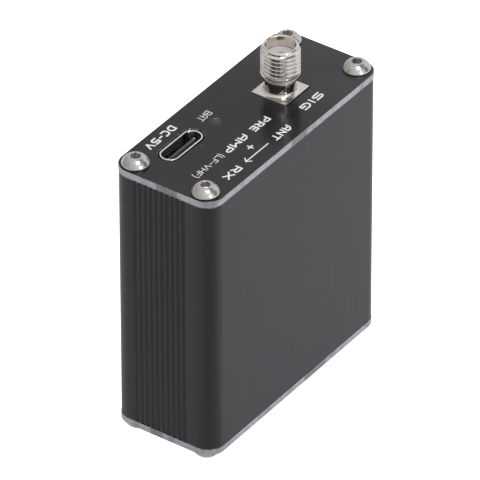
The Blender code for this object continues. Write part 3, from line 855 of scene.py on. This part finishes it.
def cavity_outline(half_width, half_depth, screw):
    """The inside of the case: walls, a screw boss in each corner and the board's rails."""
    board_low, board_high = extent("main_circuit_board")
    wall_x = half_width + GAP - NARROW_WALL
    wall_y = half_depth + GAP - BROAD_WALL
    on_side = 2 * pi - asin(sqrt(BOSS_RADIUS**2 - (wall_x - screw.x) ** 2) / BOSS_RADIUS)
    on_broad = pi - asin((wall_y - screw.y) / BOSS_RADIUS)
    boss = arc(screw.x, screw.y, BOSS_RADIUS, on_side, on_broad, 14)
    rails = []
    for low in (board_low.y - GAP - RAIL_WIDTH, board_high.y + GAP):
        step = wall_x - RAIL_REACH
        rails += [(wall_x, low), (step, low), (step, low + RAIL_WIDTH), (wall_x, low + RAIL_WIDTH)]
    right = [(x, -y) for x, y in reversed(boss)] + rails + boss
    return right + mirrored(right)


def case(surface):
    low, high = extent("enclosure_tube")
    screw = max(screw_places(), key=lambda place: place.x + place.y)
    outline = case_outline(high.x, high.y)
    cavity = cavity_outline(high.x, high.y, screw)[::-1]
    bores = [circle(p.x, p.y, BOSS_BORE_RADIUS, 24, True) for p in screw_places()]
    steps = [
        (CASE_CHAMFER, 0, CASE_WEAR),
        (0, CASE_CHAMFER, CASE_WEAR),
        (0, 2 * CASE_CHAMFER, 0),
        (0, 0.5, 0),
    ]
    stations = [(distance, low.z + up, worn, 0) for distance, up, worn in steps]
    stations += [(distance, high.z - down, worn, 0) for distance, down, worn in steps[::-1]]
    tube = loft("case_tube", [outline, cavity, *bores], stations, [surface])
    installed(tube, "black_anodised_case", "enclosure_tube")


def panel(name, node, windows, surfaces):
    """An end plate: printed faces, bare milled edges and windows."""
    low, high = extent(node)
    size = high - low
    plate = rounded_rectangle(0, 0, size.x, size.y, CORNER_RADIUS, 16)
    holes = [circle(p.x, p.y, PANEL_HOLE_RADIUS, 32, True) for p in screw_places()]
    edge = PANEL_CHAMFER
    stations = [
        (edge + PRINT_MARGIN, low.z, 0, 0),
        (edge, low.z, 1, 0),
        (0, low.z + edge, 1, 1),
        (0, low.z + 3 * edge, 0, 1),
        (0, high.z - 3 * edge, 0, 1),
        (0, high.z - edge, 1, 1),
        (edge, high.z, 0.6, 0),
        (edge + PRINT_MARGIN, high.z, 0, 0),
    ]
    plate = loft(name, [plate, *holes, *windows], stations, surfaces, 1)
    installed(plate, "black_panel", node)


def panels(top_surfaces, bottom_surfaces):
    jack = middle("sma_jack_body")
    low, high = extent("usb_c_shell")
    width = high.x - low.x + 2 * PORT_MARGIN
    height = high.y - low.y + 2 * PORT_MARGIN
    port = middle("usb_c_shell")
    light_low, light_high = extent("charge_light_window")
    light = middle("charge_light_window")
    windows = [
        rounded_rectangle(jack.x, jack.y, JACK_WINDOW_SIDE, JACK_WINDOW_SIDE, 0.35, 6, True),
        rounded_rectangle(port.x, port.y, width, height, height / 2 - 0.05, 12, True),
        circle(light.x, light.y, (light_high.x - light_low.x) / 2 + GAP, 32, True),
    ]
    panel("top_plate", "top_panel", windows, top_surfaces)

    slider = middle("power_switch_slider")
    travel = frame["joints"][0]["range_m"][1] / MM
    slot_x = slider.x + travel / 2
    nut = middle("antenna_jack_nut")
    windows = [
        rounded_rectangle(slot_x, slider.y, travel + SLOT_SPARE, SLOT_WIDTH, 0.3, 6, True),
        circle(nut.x, nut.y, ANTENNA_HOLE_RADIUS, 48, True),
    ]
    panel("bottom_plate", "bottom_panel", windows, bottom_surfaces)


# ---------------------------------------------------------------- screws


def screw_bmesh():
    """A button-head screw, head up, with a real thread on its shank."""
    rise = HEAD_RADIUS**2 - HEAD_FLAT**2
    centre = (HEAD_HEIGHT + HEAD_RIM - rise / (HEAD_HEIGHT - HEAD_RIM)) / 2
    ball = sqrt(HEAD_FLAT**2 + (HEAD_HEIGHT - centre) ** 2)
    dome = [(0, HEAD_HEIGHT)]
    for step in range(13):
        radius = HEAD_FLAT + (HEAD_RADIUS - 0.03 - HEAD_FLAT) * step / 12
        dome.append((radius, centre + sqrt(ball**2 - radius**2)))
    foot = [
        (HEAD_RADIUS, HEAD_RIM - 0.05),
        (HEAD_RADIUS, 0.14),
        (HEAD_RADIUS - 0.03, 0.08),
        (HEAD_RADIUS - 0.09, GAP),
        (1.12, GAP),
        (0.98, 0),
        (0.98, -0.5),
    ]
    tip = [(0.62, -SCREW_LENGTH), (0, -SCREW_LENGTH)]
    span = (-0.75, -SCREW_LENGTH + 0.25)
    return threaded_bmesh(dome + foot, tip, 1.0, 0.8, 0.45, span, 48, 10)


def recess_bmesh(turn):
    """The hexagon and its drilled cone, as a cutter."""
    corner = HEX_ACROSS_FLATS / sqrt(3)
    floor_height = HEAD_HEIGHT - HEX_DEPTH
    built = bmesh.new()
    rows = []
    for height, scale in ((HEAD_HEIGHT + 0.3, 1), (floor_height + 0.04, 1), (floor_height, 0.94)):
        points = arc(0, 0, corner * scale, turn, turn + 2 * pi, 6)[:-1]
        rows.append([built.verts.new((x, y, height)) for x, y in points])
    rows.append([built.verts.new((0, 0, floor_height - 0.12))])
    rows.insert(0, [built.verts.new((0, 0, HEAD_HEIGHT + 0.3))])
    turn_rings(built, rows)
    return built


def mouth_bmesh():
    """The cone that eases the corners of the hexagon."""
    corner = HEX_ACROSS_FLATS / sqrt(3)
    profile = [
        (0, HEAD_HEIGHT + 0.2),
        (corner + 0.17, HEAD_HEIGHT + 0.2),
        (corner - 0.10, HEAD_HEIGHT - 0.07),
        (0, HEAD_HEIGHT - 0.07),
    ]
    return turned_bmesh(profile, 48)


def screws(surface):
    """Four screws in each panel, those below turned upside down."""
    names = [f"{side}_screw_{number}" for side in ("top", "bottom") for number in range(1, 5)]
    for name, turn in zip(names, SCREW_TURNS):
        centre = middle(name)
        upward = name.startswith("top")
        centre.z = extent("top_panel")[1].z if upward else extent("bottom_panel")[0].z
        screw = finished(name + "_steel", screw_bmesh(), [surface])
        combine(screw, recess_bmesh(radians(turn)), "DIFFERENCE")
        combine(screw, mouth_bmesh(), "DIFFERENCE")
        if not upward:
            screw.data.transform(Matrix.Rotation(pi, 4, "X"))
        screw.data.transform(Matrix.Translation(centre * MM))
        installed(screw, "stainless_screw", name)


# ---------------------------------------------------------------- coaxial jack


def fillet(inner, outer, low, high, steps=6):
    """A hollow quarter round from a neck down to the surface it stands on."""
    points = []
    for step in range(steps + 1):
        angle = step / steps * pi / 2
        points.append((outer - (outer - inner) * cos(angle), high - (high - low) * sin(angle)))
    return points


def jack_bmesh():
    """The barrel: nose, real thread, full collar, groove, ring and neck down to its base."""
    nose = [(radius, JACK_HEIGHT - depth) for radius, depth in JACK_NOSE]
    neck = [*JACK_COLLAR, *fillet(JACK_NECK_RADIUS, 3.05, JACK_BASE_PROUD, 0.85)]
    neck += [(2.95, -0.5), (0, -0.5)]
    span = (JACK_HEIGHT - JACK_NOSE_LENGTH, JACK_THREAD_END)
    return threaded_bmesh(nose, neck, JACK_CREST, JACK_ROOT, JACK_PITCH, span, 96)


def jack_body(metal, centre):
    jack = finished("jack_body", jack_bmesh(), [metal])
    half = JACK_BASE_SIDE / 2
    foot = JACK_BASE_PROUD - JACK_BASE_THICKNESS
    base = pillar_bmesh(0, 0, half, half, foot, JACK_BASE_PROUD, 0.08)
    combine(jack, base, "UNION")
    board_low, board_high = extent("main_circuit_board")
    for leg_low in (board_low.y - GAP - JACK_LEG_SIDE - centre.y, board_high.y + GAP - centre.y):
        for left in (-half, half - JACK_LEG_SIDE):
            corner = (left, leg_low, foot - JACK_LEG_LENGTH)
            other = (left + JACK_LEG_SIDE, leg_low + JACK_LEG_SIDE, foot + 0.4)
            combine(jack, box_bmesh(corner, other, 0.1), "UNION")
    mouth = JACK_HEIGHT - JACK_BORE_DEPTH
    bore = [
        (0, JACK_HEIGHT + 0.5),
        (JACK_BORE_RADIUS + 0.62, JACK_HEIGHT + 0.5),
        (JACK_BORE_RADIUS + 0.08, JACK_HEIGHT - 0.03),
        (JACK_BORE_RADIUS, JACK_HEIGHT - 0.14),
        (JACK_BORE_RADIUS, mouth),
        (INSULATOR_RADIUS + GAP, mouth),
        (INSULATOR_RADIUS + GAP, foot - 1),
        (0, foot - 1),
    ]
    combine(jack, turned_bmesh(bore, 96), "DIFFERENCE")
    jack.data.transform(Matrix.Translation(centre * MM))
    installed(jack, "nickel_plate", "sma_jack_body")


def jack_insulator(plastic, centre):
    """The filler inside the barrel, with a flange that spans the mouth's floor."""
    mouth = JACK_HEIGHT - JACK_BORE_DEPTH
    foot = JACK_BASE_PROUD - JACK_BASE_THICKNESS
    ring = [
        (0.72, mouth + 0.04),
        (0.80, mouth + 0.07),
        (JACK_BORE_RADIUS - 0.10, mouth + 0.07),
        (JACK_BORE_RADIUS - 0.04, mouth + 0.03),
        (JACK_BORE_RADIUS - 0.04, mouth + 0.005),
        (INSULATOR_RADIUS, mouth + 0.005),
        (INSULATOR_RADIUS, foot),
        (0.65, foot),
        (0.65, mouth - 0.12),
    ]
    filler = turned("jack_insulator", ring, 64, centre, plastic, True)
    installed(filler, "fluoropolymer", "sma_insulator")


def jack_contact(contact_metal, centre):
    """The split socket in the middle, down to its tail."""
    mouth = JACK_HEIGHT - JACK_BORE_DEPTH
    tail = extent("sma_center_contact")[0].z - centre.z
    pin = [
        (0.32, mouth - 0.2),
        (0.38, mouth),
        (0.50, mouth + 0.03),
        (0.57, mouth - 0.01),
        (CONTACT_RADIUS, mouth - 0.12),
        (CONTACT_RADIUS, tail + 0.1),
        (0.50, tail),
        (0, tail),
        (0, mouth - 3),
        (0.32, mouth - 2.8),
    ]
    contact = finished("jack_contact", turned_bmesh(pin + pin[:1], 40), [contact_metal])
    for turn in (0.4, pi / 2 + 0.4):
        slit = pillar_bmesh(0, 0, 0.9, 0.06, mouth - 1.6, mouth + 0.3)
        spin = Matrix.Rotation(turn, 3, "Z")
        bmesh.ops.rotate(slit, cent=(0, 0, 0), matrix=spin, verts=slit.verts)
        combine(contact, slit, "DIFFERENCE")
    contact.data.transform(Matrix.Translation(centre * MM))
    installed(contact, "gilt_contact", "sma_center_contact")


def coaxial_jack(metal, plastic, contact_metal):
    centre = middle("sma_jack_body")
    centre.z = extent("top_panel")[1].z
    jack_body(metal, centre)
    jack_insulator(plastic, centre)
    jack_contact(contact_metal, centre)


# ---------------------------------------------------------------- charging port and light


def shell_outline(centre, width, height):
    """A drawn shell with the fine seam where its strip meets itself, on its back side."""
    seam = 0.02
    loops = []
    for inward, radius_from in ((0, height), (PORT_WALL, height - 2 * PORT_WALL)):
        loop = rounded_rectangle(
            centre.x, centre.y, width - 2 * inward, height - 2 * inward, radius_from / 2 - 0.05, 14
        )
        loop = loop[15:] + loop[:15]
        loops.append([(centre.x - seam, loop[0][1]), *loop, (centre.x + seam, loop[0][1])])
    outer, inner = loops
    return outer + inner[::-1]


def port_shell(metal):
    low, high = extent("usb_c_shell")
    stations = [(0.04, low.z, 0, 0), (0, low.z + 0.04, 0, 0), (0, high.z - PORT_LIP, 0, 0)]
    for step in range(1, 5):
        angle = step / 4 * pi / 2
        height = high.z - PORT_LIP + PORT_LIP * sin(angle)
        stations.append((PORT_LIP * (1 - cos(angle)), height, 0, 0))
    outline = shell_outline((low + high) / 2, high.x - low.x, high.y - low.y)
    installed(loft("port_shell", [outline], stations, [metal]), "nickel_plate", "usb_c_shell")


def port_insert(moulding, centre, root, tip):
    """The moulded block, with its tongue and the shoulder that stiffens it."""
    low, high = extent("usb_c_insert")
    depth = high.y - low.y
    block = rounded_rectangle(centre.x, centre.y, high.x - low.x, depth, depth / 2 - 0.05, 12)
    stations = [(0.1, low.z, 0, 0), (0, low.z + 0.1, 0, 0)]
    stations += [(0, root - 0.08, 0, 0), (0.08, root, 0, 0)]
    insert = loft("port_insert", [block], stations, [moulding])
    half, thin = TONGUE_WIDTH / 2, TONGUE_THICKNESS / 2
    tongue = pillar_bmesh(centre.x, centre.y, half, thin, root - 0.4, tip, 0.16, 4)
    combine(insert, tongue, "UNION")
    shoulder = pillar_bmesh(centre.x, centre.y, half + 0.2, 0.75, root - 0.4, root + 1.2, 0.1)
    combine(insert, shoulder, "UNION")
    installed(insert, "black_moulding", "usb_c_insert")


def charging_port(metal, moulding, contact_metal):
    _, high = extent("usb_c_shell")
    centre = middle("usb_c_shell")
    tip = high.z - TONGUE_RECESS
    root = tip - TONGUE_LENGTH
    port_shell(metal)
    port_insert(moulding, centre, root, tip)

    pads = []
    for number in range(PAD_COUNT):
        x = centre.x + (number - (PAD_COUNT - 1) / 2) * PAD_PITCH
        for side in (-1, 1):
            y = centre.y + side * (TONGUE_THICKNESS / 2 + 0.012)
            pads.append(pillar_bmesh(x, y, 0.13, 0.02, root + 1.25, tip - 1.6, 0.01, 1))
    installed(finished("port_contacts", gathered(pads), [contact_metal]), "gilt_contact")

    cheeks = []
    for side in (-1, 1):
        x = centre.x + side * (TONGUE_WIDTH / 2 + 0.01)
        cheeks.append(pillar_bmesh(x, centre.y, 0.1, 0.16, root + 1.3, tip + 0.02, 0.05))
    installed(finished("port_latch_plate", gathered(cheeks), [metal]), "nickel_plate")


def charge_light(surface):
    low, high = extent("charge_light_window")
    centre = middle("charge_light_window")
    centre.z = high.z
    radius = (high.x - low.x) / 2
    depth = high.z - low.z
    crown = [(0, -0.02), (radius * 0.5, -0.025), (radius * 0.85, -0.04), (radius, -0.08)]
    foot = [(radius, -depth + 0.2), (radius - 0.2, -depth), (0, -depth)]
    window = turned("light_window", crown + foot, 48, centre, surface)
    installed(window, "clear_window", "charge_light_window")


# ---------------------------------------------------------------- legend


def glyphs():
    """Each character's width as a share of its height, and its strokes in a unit square."""
    bowl = [(0, 0), (0, 1), (0.72, 1), (1, 0.82), (1, 0.62), (0.72, 0.42), (0, 0.42)]
    bend = [(1, 1), (0.28, 1), (0, 0.72), (0, 0.28), (0.28, 0), (1, 0)]
    upper_s = [(1, 1), (0.2, 1), (0, 0.86), (0, 0.64), (0.2, 0.5), (0.8, 0.5)]
    upper_b = [(0, 0), (0, 1), (0.8, 1), (1, 0.84), (1, 0.62), (0.86, 0.5), (0, 0.5)]
    return {
        "A": (1.0, [[(0, 0), (0, 0.62), (0.4, 1), (1, 1), (1, 0)], [(0, 0.38), (1, 0.38)]]),
        "B": (1.0, [upper_b, [(0.86, 0.5), (1, 0.38), (1, 0.16), (0.8, 0), (0, 0)]]),
        "C": (0.95, [bend]),
        "D": (1.0, [[(0, 0), (0, 1), (0.68, 1), (1, 0.7), (1, 0.3), (0.68, 0), (0, 0)]]),
        "E": (0.9, [[(1, 1), (0, 1), (0, 0), (1, 0)], [(0, 0.5), (0.9, 0.5)]]),
        "F": (0.9, [[(1, 1), (0, 1), (0, 0)], [(0, 0.48), (0.9, 0.48)]]),
        "G": (1.0, [[*bend, (1, 0.45), (0.55, 0.45)]]),
        "H": (1.0, [[(0, 0), (0, 1)], [(1, 0), (1, 1)], [(0, 0.5), (1, 0.5)]]),
        "I": (0.3, [[(0.5, 0), (0.5, 1)]]),
        "L": (0.85, [[(0, 1), (0, 0), (1, 0)]]),
        "M": (1.2, [[(0, 0), (0, 1), (0.5, 0.45), (1, 1), (1, 0)]]),
        "N": (1.05, [[(0, 0), (0, 1), (1, 0), (1, 1)]]),
        "P": (1.0, [bowl]),
        "R": (1.0, [bowl, [(0.5, 0.42), (1, 0)]]),
        "S": (1.0, [upper_s, [(0.8, 0.5), (1, 0.36), (1, 0.14), (0.8, 0), (0, 0)]]),
        "T": (1.0, [[(0, 1), (1, 1)], [(0.5, 1), (0.5, 0)]]),
        "V": (1.05, [[(0, 1), (0.5, 0), (1, 1)]]),
        "X": (1.05, [[(0, 0), (1, 1)], [(0, 1), (1, 0)]]),
        "5": (
            1.0,
            [
                [(1, 1), (0, 1), (0, 0.56), (0.78, 0.56)],
                [(0.78, 0.56), (1, 0.4), (1, 0.16), (0.78, 0), (0, 0)],
            ],
        ),
        "-": (0.6, [[(0, 0.5), (1, 0.5)]]),
        "(": (0.35, [[(1, 1.18), (0.2, 0.8), (0.2, 0.2), (1, -0.18)]]),
        ")": (0.35, [[(0, 1.18), (0.8, 0.8), (0.8, 0.2), (0, -0.18)]]),
        "+": (1.0, [[(0.5, 0), (0.5, 1)], [(0, 0.5), (1, 0.5)]]),
    }


def stroke_patches(points, weight):
    """Counter-clockwise polygons that cover one stroke: a bar for each stretch, a disc at bends."""
    patches = []
    for index, (first, second) in enumerate(zip(points, points[1:])):
        first, second = Vector(first), Vector(second)
        along = (second - first).normalized() * weight / 2
        across = Vector((-along.y, along.x))
        start = first - along if index == 0 else first
        end = second + along if index == len(points) - 2 else second
        patches.append([start - across, end - across, end + across, start + across])
    for x, y in points[1:-1]:
        patches.append([Vector(point) for point in circle(x, y, weight / 2, 12)])
    return patches


def text_patches(text, left, right, top, baseline, weight):
    """The patches of a line of text between its two ends. left and right may run either way."""
    shapes = glyphs()
    natural = sum(shapes[letter][0] for letter in text) + LETTER_GAP * (len(text) - 1)
    height = abs(top - baseline)
    widen = abs(right - left) / (natural * height)
    flow = 1 if right > left else -1
    rise = 1 if top > baseline else -1
    patches = []
    pen = 0.0
    for letter in text:
        width, strokes = shapes[letter]
        span = max(width * height * widen - weight, 0)
        for stroke in strokes:
            points = []
            for x, y in stroke:
                across = pen + weight / 2 + x * span
                up = weight / 2 + y * (height - weight)
                points.append((left + flow * across, baseline + rise * up))
            patches += stroke_patches(points, weight)
        pen += (width + LETTER_GAP) * height * widen
    return patches


def legend_patches():
    """Every patch of ink: the lines of text, and the arrow's shaft and barbs."""
    patches = []
    for line in LEGEND:
        patches += text_patches(*line)
    barb_x = ARROW_END + ARROW_HEAD
    shaft = [(ARROW_START, ARROW_Y), (ARROW_END, ARROW_Y)]
    barbs = [(barb_x, ARROW_Y - ARROW_HEAD), (ARROW_END, ARROW_Y), (barb_x, ARROW_Y + ARROW_HEAD)]
    return patches + stroke_patches(shaft, ARROW_WEIGHT) + stroke_patches(barbs, ARROW_WEIGHT)


def legend(surface):
    """White ink that stands a hair above the print, each letter one closed solid."""
    points, faces = [], []
    for patch in legend_patches():
        faces.append(list(range(len(points), len(points) + len(patch))))
        points += patch
    places, _, triangles, _, _, sources = delaunay_2d_cdt(points, [], faces, 1, 1e-5)
    _, high = extent("top_panel")
    built = bmesh.new()
    levels = [high.z + INK_HEIGHT, high.z - INK_HEIGHT / 4]
    upper, lower = [[built.verts.new((*place, level)) for place in places] for level in levels]
    borders = {}
    for triangle, covered in zip(triangles, sources):
        if not covered:
            continue
        built.faces.new([upper[index] for index in triangle])
        built.faces.new([lower[index] for index in reversed(triangle)])
        for first, second in zip(triangle, triangle[1:] + triangle[:1]):
            if (second, first) in borders:
                del borders[(second, first)]
            else:
                borders[(first, second)] = True
    for first, second in borders:
        built.faces.new((upper[first], lower[first], lower[second], upper[second]))
    loose = [vertex for vertex in built.verts if not vertex.link_faces]
    bmesh.ops.delete(built, geom=loose, context="VERTS")
    installed(finished("panel_legend", built, [surface]), "black_panel")


# ---------------------------------------------------------------- underside


def power_switch(surface):
    """The knob: a stem with finger ridges on the end that shows, on the base that slides."""
    low, high = extent("power_switch_slider")
    centre = (low + high) / 2
    body_low, _ = extent("power_switch_body")
    stem = pillar_bmesh(centre.x, centre.y, *KNOB_HALF, low.z, body_low.z + 0.1, 0.08)
    knob = finished("switch_knob_cap", stem, [surface])
    base = box_bmesh((low.x, low.y, body_low.z + 0.05), (high.x, high.y, high.z), 0.08)
    combine(knob, base, "UNION")
    for number in (-1, 0, 1):
        x = centre.x + number * KNOB_GROOVE_PITCH
        corner = (x - 0.09, low.y - 1, low.z - 1)
        groove = box_bmesh(corner, (x + 0.09, high.y + 1, low.z + KNOB_GROOVE_DEPTH), 0.05)
        combine(knob, groove, "DIFFERENCE")
    installed(knob, "black_moulding", "power_switch_slider", body="switch_knob")


def antenna_body(moulding, axis):
    """A moulded block with a threaded collar and a plain bore, all pointing down."""
    low, high = extent("antenna_jack_body")
    body_low = high.z - ANTENNA_BODY_LENGTH
    jack = finished(
        "antenna_socket_body", box_bmesh((*low.xy, body_low), high, 0.25, 3), [moulding]
    )
    length = body_low - low.z
    radius = ANTENNA_COLLAR_RADIUS
    above = [(0, 0.0), (radius - 0.1, 0.0), (radius - 0.02, -0.08)]
    below = [(radius - 0.2, -length - 0.6), (0, -length - 0.6)]
    span = (-0.12, -length - 0.4)
    collar = threaded_bmesh(above, below, radius, radius - 0.2, 0.5, span, 48, 10)
    mouth = (axis.x, axis.y, low.z)
    combine(jack, flipped_bmesh(collar, mouth), "UNION")
    wide, deep = ANTENNA_BORE_RADIUS, ANTENNA_BORE_DEPTH
    bore = [(0, 0.5), (2.4, 0.5), (wide + 0.15, -0.05), (wide, -0.25), (wide, -deep), (0, -deep)]
    combine(jack, flipped_bmesh(turned_bmesh(bore, 48), mouth), "DIFFERENCE")
    installed(jack, "black_moulding", "antenna_jack_body")


def antenna_nut(metal, axis):
    """A knurled ring nut under the panel, with a sleeve up through it."""
    low, high = extent("antenna_jack_nut")
    radius = (high.x - low.x) / 2
    knurl = []
    for tooth in range(NUT_TEETH):
        for share, reach in ((0.0, 0.14), (0.3, 0.0), (0.6, 0.0), (0.9, 0.14)):
            angle = 2 * pi * (tooth + share) / NUT_TEETH
            far = radius - reach
            knurl.append((axis.x + far * cos(angle), axis.y + far * sin(angle)))
    hole = circle(axis.x, axis.y, NUT_HOLE_RADIUS, 64, True)
    top = extent("bottom_panel")[0].z - GAP
    stations = [
        (0.16, low.z, 0, 0),
        (0, low.z + 0.16, 0, 0),
        (0, top - 0.08, 0, 0),
        (0.08, top, 0, 0),
    ]
    nut = loft("antenna_socket_nut", [knurl, hole], stations, [metal])
    rim, outside = high.z - top, NUT_HOLE_RADIUS + 0.2
    bush = [(NUT_HOLE_RADIUS, rim), (outside, rim), (outside, -0.06), (NUT_HOLE_RADIUS, -0.06)]
    combine(nut, turned_bmesh(bush, 64, (axis.x, axis.y, top), True), "UNION")
    installed(nut, "nickel_plate", "antenna_jack_nut")


def antenna_leaf(contact_metal):
    """The sprung blade beside the bore, bowed towards it."""
    low, high = extent("antenna_jack_contact")
    leaf = bmesh.new()
    rows = []
    for step in range(13):
        share = step / 12
        inner = low.x + 0.1 - 0.1 * sin(pi * share)
        outer = inner + 0.14
        height = low.z + share * (high.z - low.z)
        corners = ((inner, low.y), (outer, low.y), (outer, high.y), (inner, high.y))
        rows.append([leaf.verts.new((x, y, height)) for x, y in corners])
    turn_rings(leaf, rows)
    leaf.faces.new(rows[0])
    leaf.faces.new(rows[-1])
    blade = finished("antenna_socket_leaf", leaf, [contact_metal])
    installed(blade, "gilt_contact", "antenna_jack_contact")


def antenna_jack(moulding, metal, contact_metal):
    axis = middle("antenna_jack_nut")
    antenna_body(moulding, axis)
    antenna_nut(metal, axis)
    antenna_leaf(contact_metal)


# ---------------------------------------------------------------- carried-over nodes


def repaint(node, surface):
    """Give a CAD node that stays a finished material."""
    obj = frame["nodes"][node]
    if not obj.material_slots:
        obj.data.materials.append(surface)
    for slot in obj.material_slots:
        slot.material = surface
    for polygon in obj.data.polygons:
        polygon.use_smooth = False


def insides():
    """Finished materials for the nodes that stay as the CAD made them."""
    nylon, epoxy = white_nylon(), chip_epoxy()
    red, worn_red = (0.55, 0.02, 0.02), (0.40, 0.015, 0.015)
    black, worn_black = (0.02, 0.02, 0.02), (0.04, 0.04, 0.04)
    yellow, stripe = (0.55, 0.40, 0.06), (0.10, 0.05, 0.02)
    brown, tin = (0.46, 0.33, 0.21), (0.62, 0.61, 0.60)
    repaint("main_circuit_board", circuit_board())
    repaint("battery_cell", silver_pouch())
    repaint("cell_tape", foam_tape())
    repaint("battery_socket", nylon)
    repaint("battery_plug", nylon)
    repaint("battery_lead_red", wire_skin("red_insulation", red, worn_red))
    repaint("battery_lead_black", wire_skin("black_insulation", black, worn_black))
    for name in CHIPS:
        repaint(name, epoxy)
    repaint("power_inductor", ferrite())
    repaint("supply_capacitor", banded("tantalum_case", yellow, stripe, "supply_capacitor", 0.3))
    for name in ("input_capacitor", "output_capacitor"):
        repaint(name, banded(name + "_ceramic", brown, tin, name, 0.2))
    repaint("power_switch_body", switch_steel())
    repaint("charge_lamp", lamp_phosphor())


# ---------------------------------------------------------------- studio


def direction(azimuth, elevation):
    """Unit vector towards a place seen at an azimuth and elevation, in degrees."""
    around, up = radians(azimuth), radians(elevation)
    return Vector((sin(around) * cos(up), -cos(around) * cos(up), sin(up)))


def camera():
    """The photograph's view, all but level and from far off."""
    back = direction(CAMERA_AZIMUTH, CAMERA_ELEVATION)
    right = Vector((0, 0, 1)).cross(back).normalized()
    up = back.cross(right)
    roll = radians(CAMERA_ROLL)
    rolled_right = right * cos(roll) + up * sin(roll)
    rolled_up = up * cos(roll) - right * sin(roll)
    place = Vector((0, 0, CAMERA_TARGET_HEIGHT)) + back * CAMERA_DISTANCE
    place += rolled_right * CAMERA_SIDEWAYS + rolled_up * CAMERA_UPWARDS
    data = bpy.data.cameras.new("camera")
    data.lens = CAMERA_LENS
    data.sensor_width = 36
    data.clip_start = 0.05
    data.clip_end = 20
    obj = bpy.data.objects.new("camera", data)
    bpy.context.scene.collection.objects.link(obj)
    columns = Matrix((rolled_right, rolled_up, back)).transposed().to_4x4()
    obj.matrix_world = Matrix.Translation(place * MM) @ columns
    bpy.context.scene.camera = obj


def softbox(name, azimuth, elevation, width, height, power):
    """A soft rectangular light that faces the object."""
    data = bpy.data.lights.new(name, "AREA")
    data.shape = "RECTANGLE"
    data.size = width
    data.size_y = height
    data.energy = power
    obj = bpy.data.objects.new(name, data)
    bpy.context.scene.collection.objects.link(obj)
    back = direction(azimuth, elevation)
    obj.location = Vector((0, 0, 0.03)) + back * LIGHT_DISTANCE
    obj.rotation_mode = "QUATERNION"
    obj.rotation_quaternion = (-back).to_track_quat("-Z", "Y")


def floor_material():
    """White to the camera, clear from below, and a glow of its own in the reflections."""
    surface = bpy.data.materials.new("pale_floor")
    surface.use_nodes = True
    tree = surface.node_tree
    tree.nodes.clear()
    place = add_node(tree, "TexCoord").outputs["Object"]
    split = add_node(tree, "SeparateXYZ", {0: place})
    glows = []
    for axis, (start, full, level) in enumerate((FLOOR_GLOW_BROAD, FLOOR_GLOW_NARROW)):
        glows.append(ramp(tree, split.outputs[axis], start, full, FLOOR_GLOW_NEAR, level))
    level = add_node(tree, "Math", {0: glows[0], 1: glows[1]}, operation="MAXIMUM").outputs[0]
    ray = add_node(tree, "LightPath").outputs["Is Camera Ray"]
    strength = add_node(tree, "Mix", {0: ray, 2: level, 3: FLOOR_GLOW_SEEN}).outputs[0]
    glow = add_node(tree, "Emission", {"Color": (*FLOOR_GLOW_TINT, 1), "Strength": strength})
    paper = add_node(tree, "BsdfDiffuse", {"Color": (*FLOOR_COLOUR, 1)})
    lit = add_node(tree, "AddShader", {0: paper.outputs[0], 1: glow.outputs[0]})
    clear = add_node(tree, "BsdfTransparent")
    below = add_node(tree, "NewGeometry").outputs["Backfacing"]
    mix = add_node(tree, "MixShader", {0: below, 1: lit.outputs[0], 2: clear.outputs[0]})
    add_node(tree, "OutputMaterial", {0: mix.outputs[0]})
    return surface


def floor():
    """A large pale sheet that faces up, a hair under the object."""
    built = bmesh.new()
    bmesh.ops.create_grid(built, x_segments=8, y_segments=8, size=FLOOR_REACH)
    bmesh.ops.translate(built, vec=(0, 0, -FLOOR_DROP), verts=built.verts)
    mesh = bpy.data.meshes.new("floor")
    built.to_mesh(mesh)
    built.free()
    mesh.materials.append(floor_material())
    ground = bpy.data.objects.new("floor", mesh)
    bpy.context.scene.collection.objects.link(ground)


def studio():
    """A white sky that is brighter on one side, with dark flags in it, and two soft lights."""
    world = bpy.data.worlds.new("studio")
    bpy.context.scene.world = world
    world.use_nodes = True
    tree = world.node_tree
    place = add_node(tree, "TexCoord").outputs["Generated"]
    glow = None
    for azimuth, elevation, *levels in (SKY_GLOW, *DARK_FLAGS):
        values = {0: place, 1: direction(azimuth, elevation)}
        near = add_node(tree, "VectorMath", values, operation="DOT_PRODUCT").outputs["Value"]
        level = ramp(tree, near, *levels)
        if glow:
            level = add_node(tree, "Math", {0: glow, 1: level}, operation="MULTIPLY").outputs[0]
        glow = level
    ray = add_node(tree, "LightPath").outputs["Is Camera Ray"]
    seen = add_node(tree, "Mix", {0: ray, 2: glow, 3: 1.0}).outputs[0]
    background = tree.nodes["Background"]
    background.inputs["Color"].default_value = (1, 1, 1, 1)
    tree.links.new(seen, background.inputs["Strength"])
    for light in SOFTBOXES:
        softbox(*light)
    bpy.context.scene.view_settings.view_transform = "Standard"


def build():
    camera()
    studio()
    floor()
    print_black = printed_panel()
    top_edge = milled_edge("milled_top", *TOP_SCARS)
    bottom_edge = milled_edge("milled_bottom", *BOTTOM_SCARS)
    plating = nickel("nickel_plate", (0.74, 0.71, 0.68))
    bright_plating = nickel("bright_nickel_plate", (0.92, 0.91, 0.89))
    gold, moulding = gilt(), black_moulding()
    case(anodised_case())
    panels([print_black, top_edge], [print_black, bottom_edge])
    screws(screw_steel())
    coaxial_jack(plating, fluoropolymer(), gold)
    charging_port(bright_plating, port_moulding(), gold)
    charge_light(smoky_window())
    legend(legend_ink())
    power_switch(moulding)
    antenna_jack(moulding, plating, gold)
    insides()


def corners(pair):
    return [[round(value, 6) for value in corner] for corner in pair]


build()
bpy.context.view_layer.update()
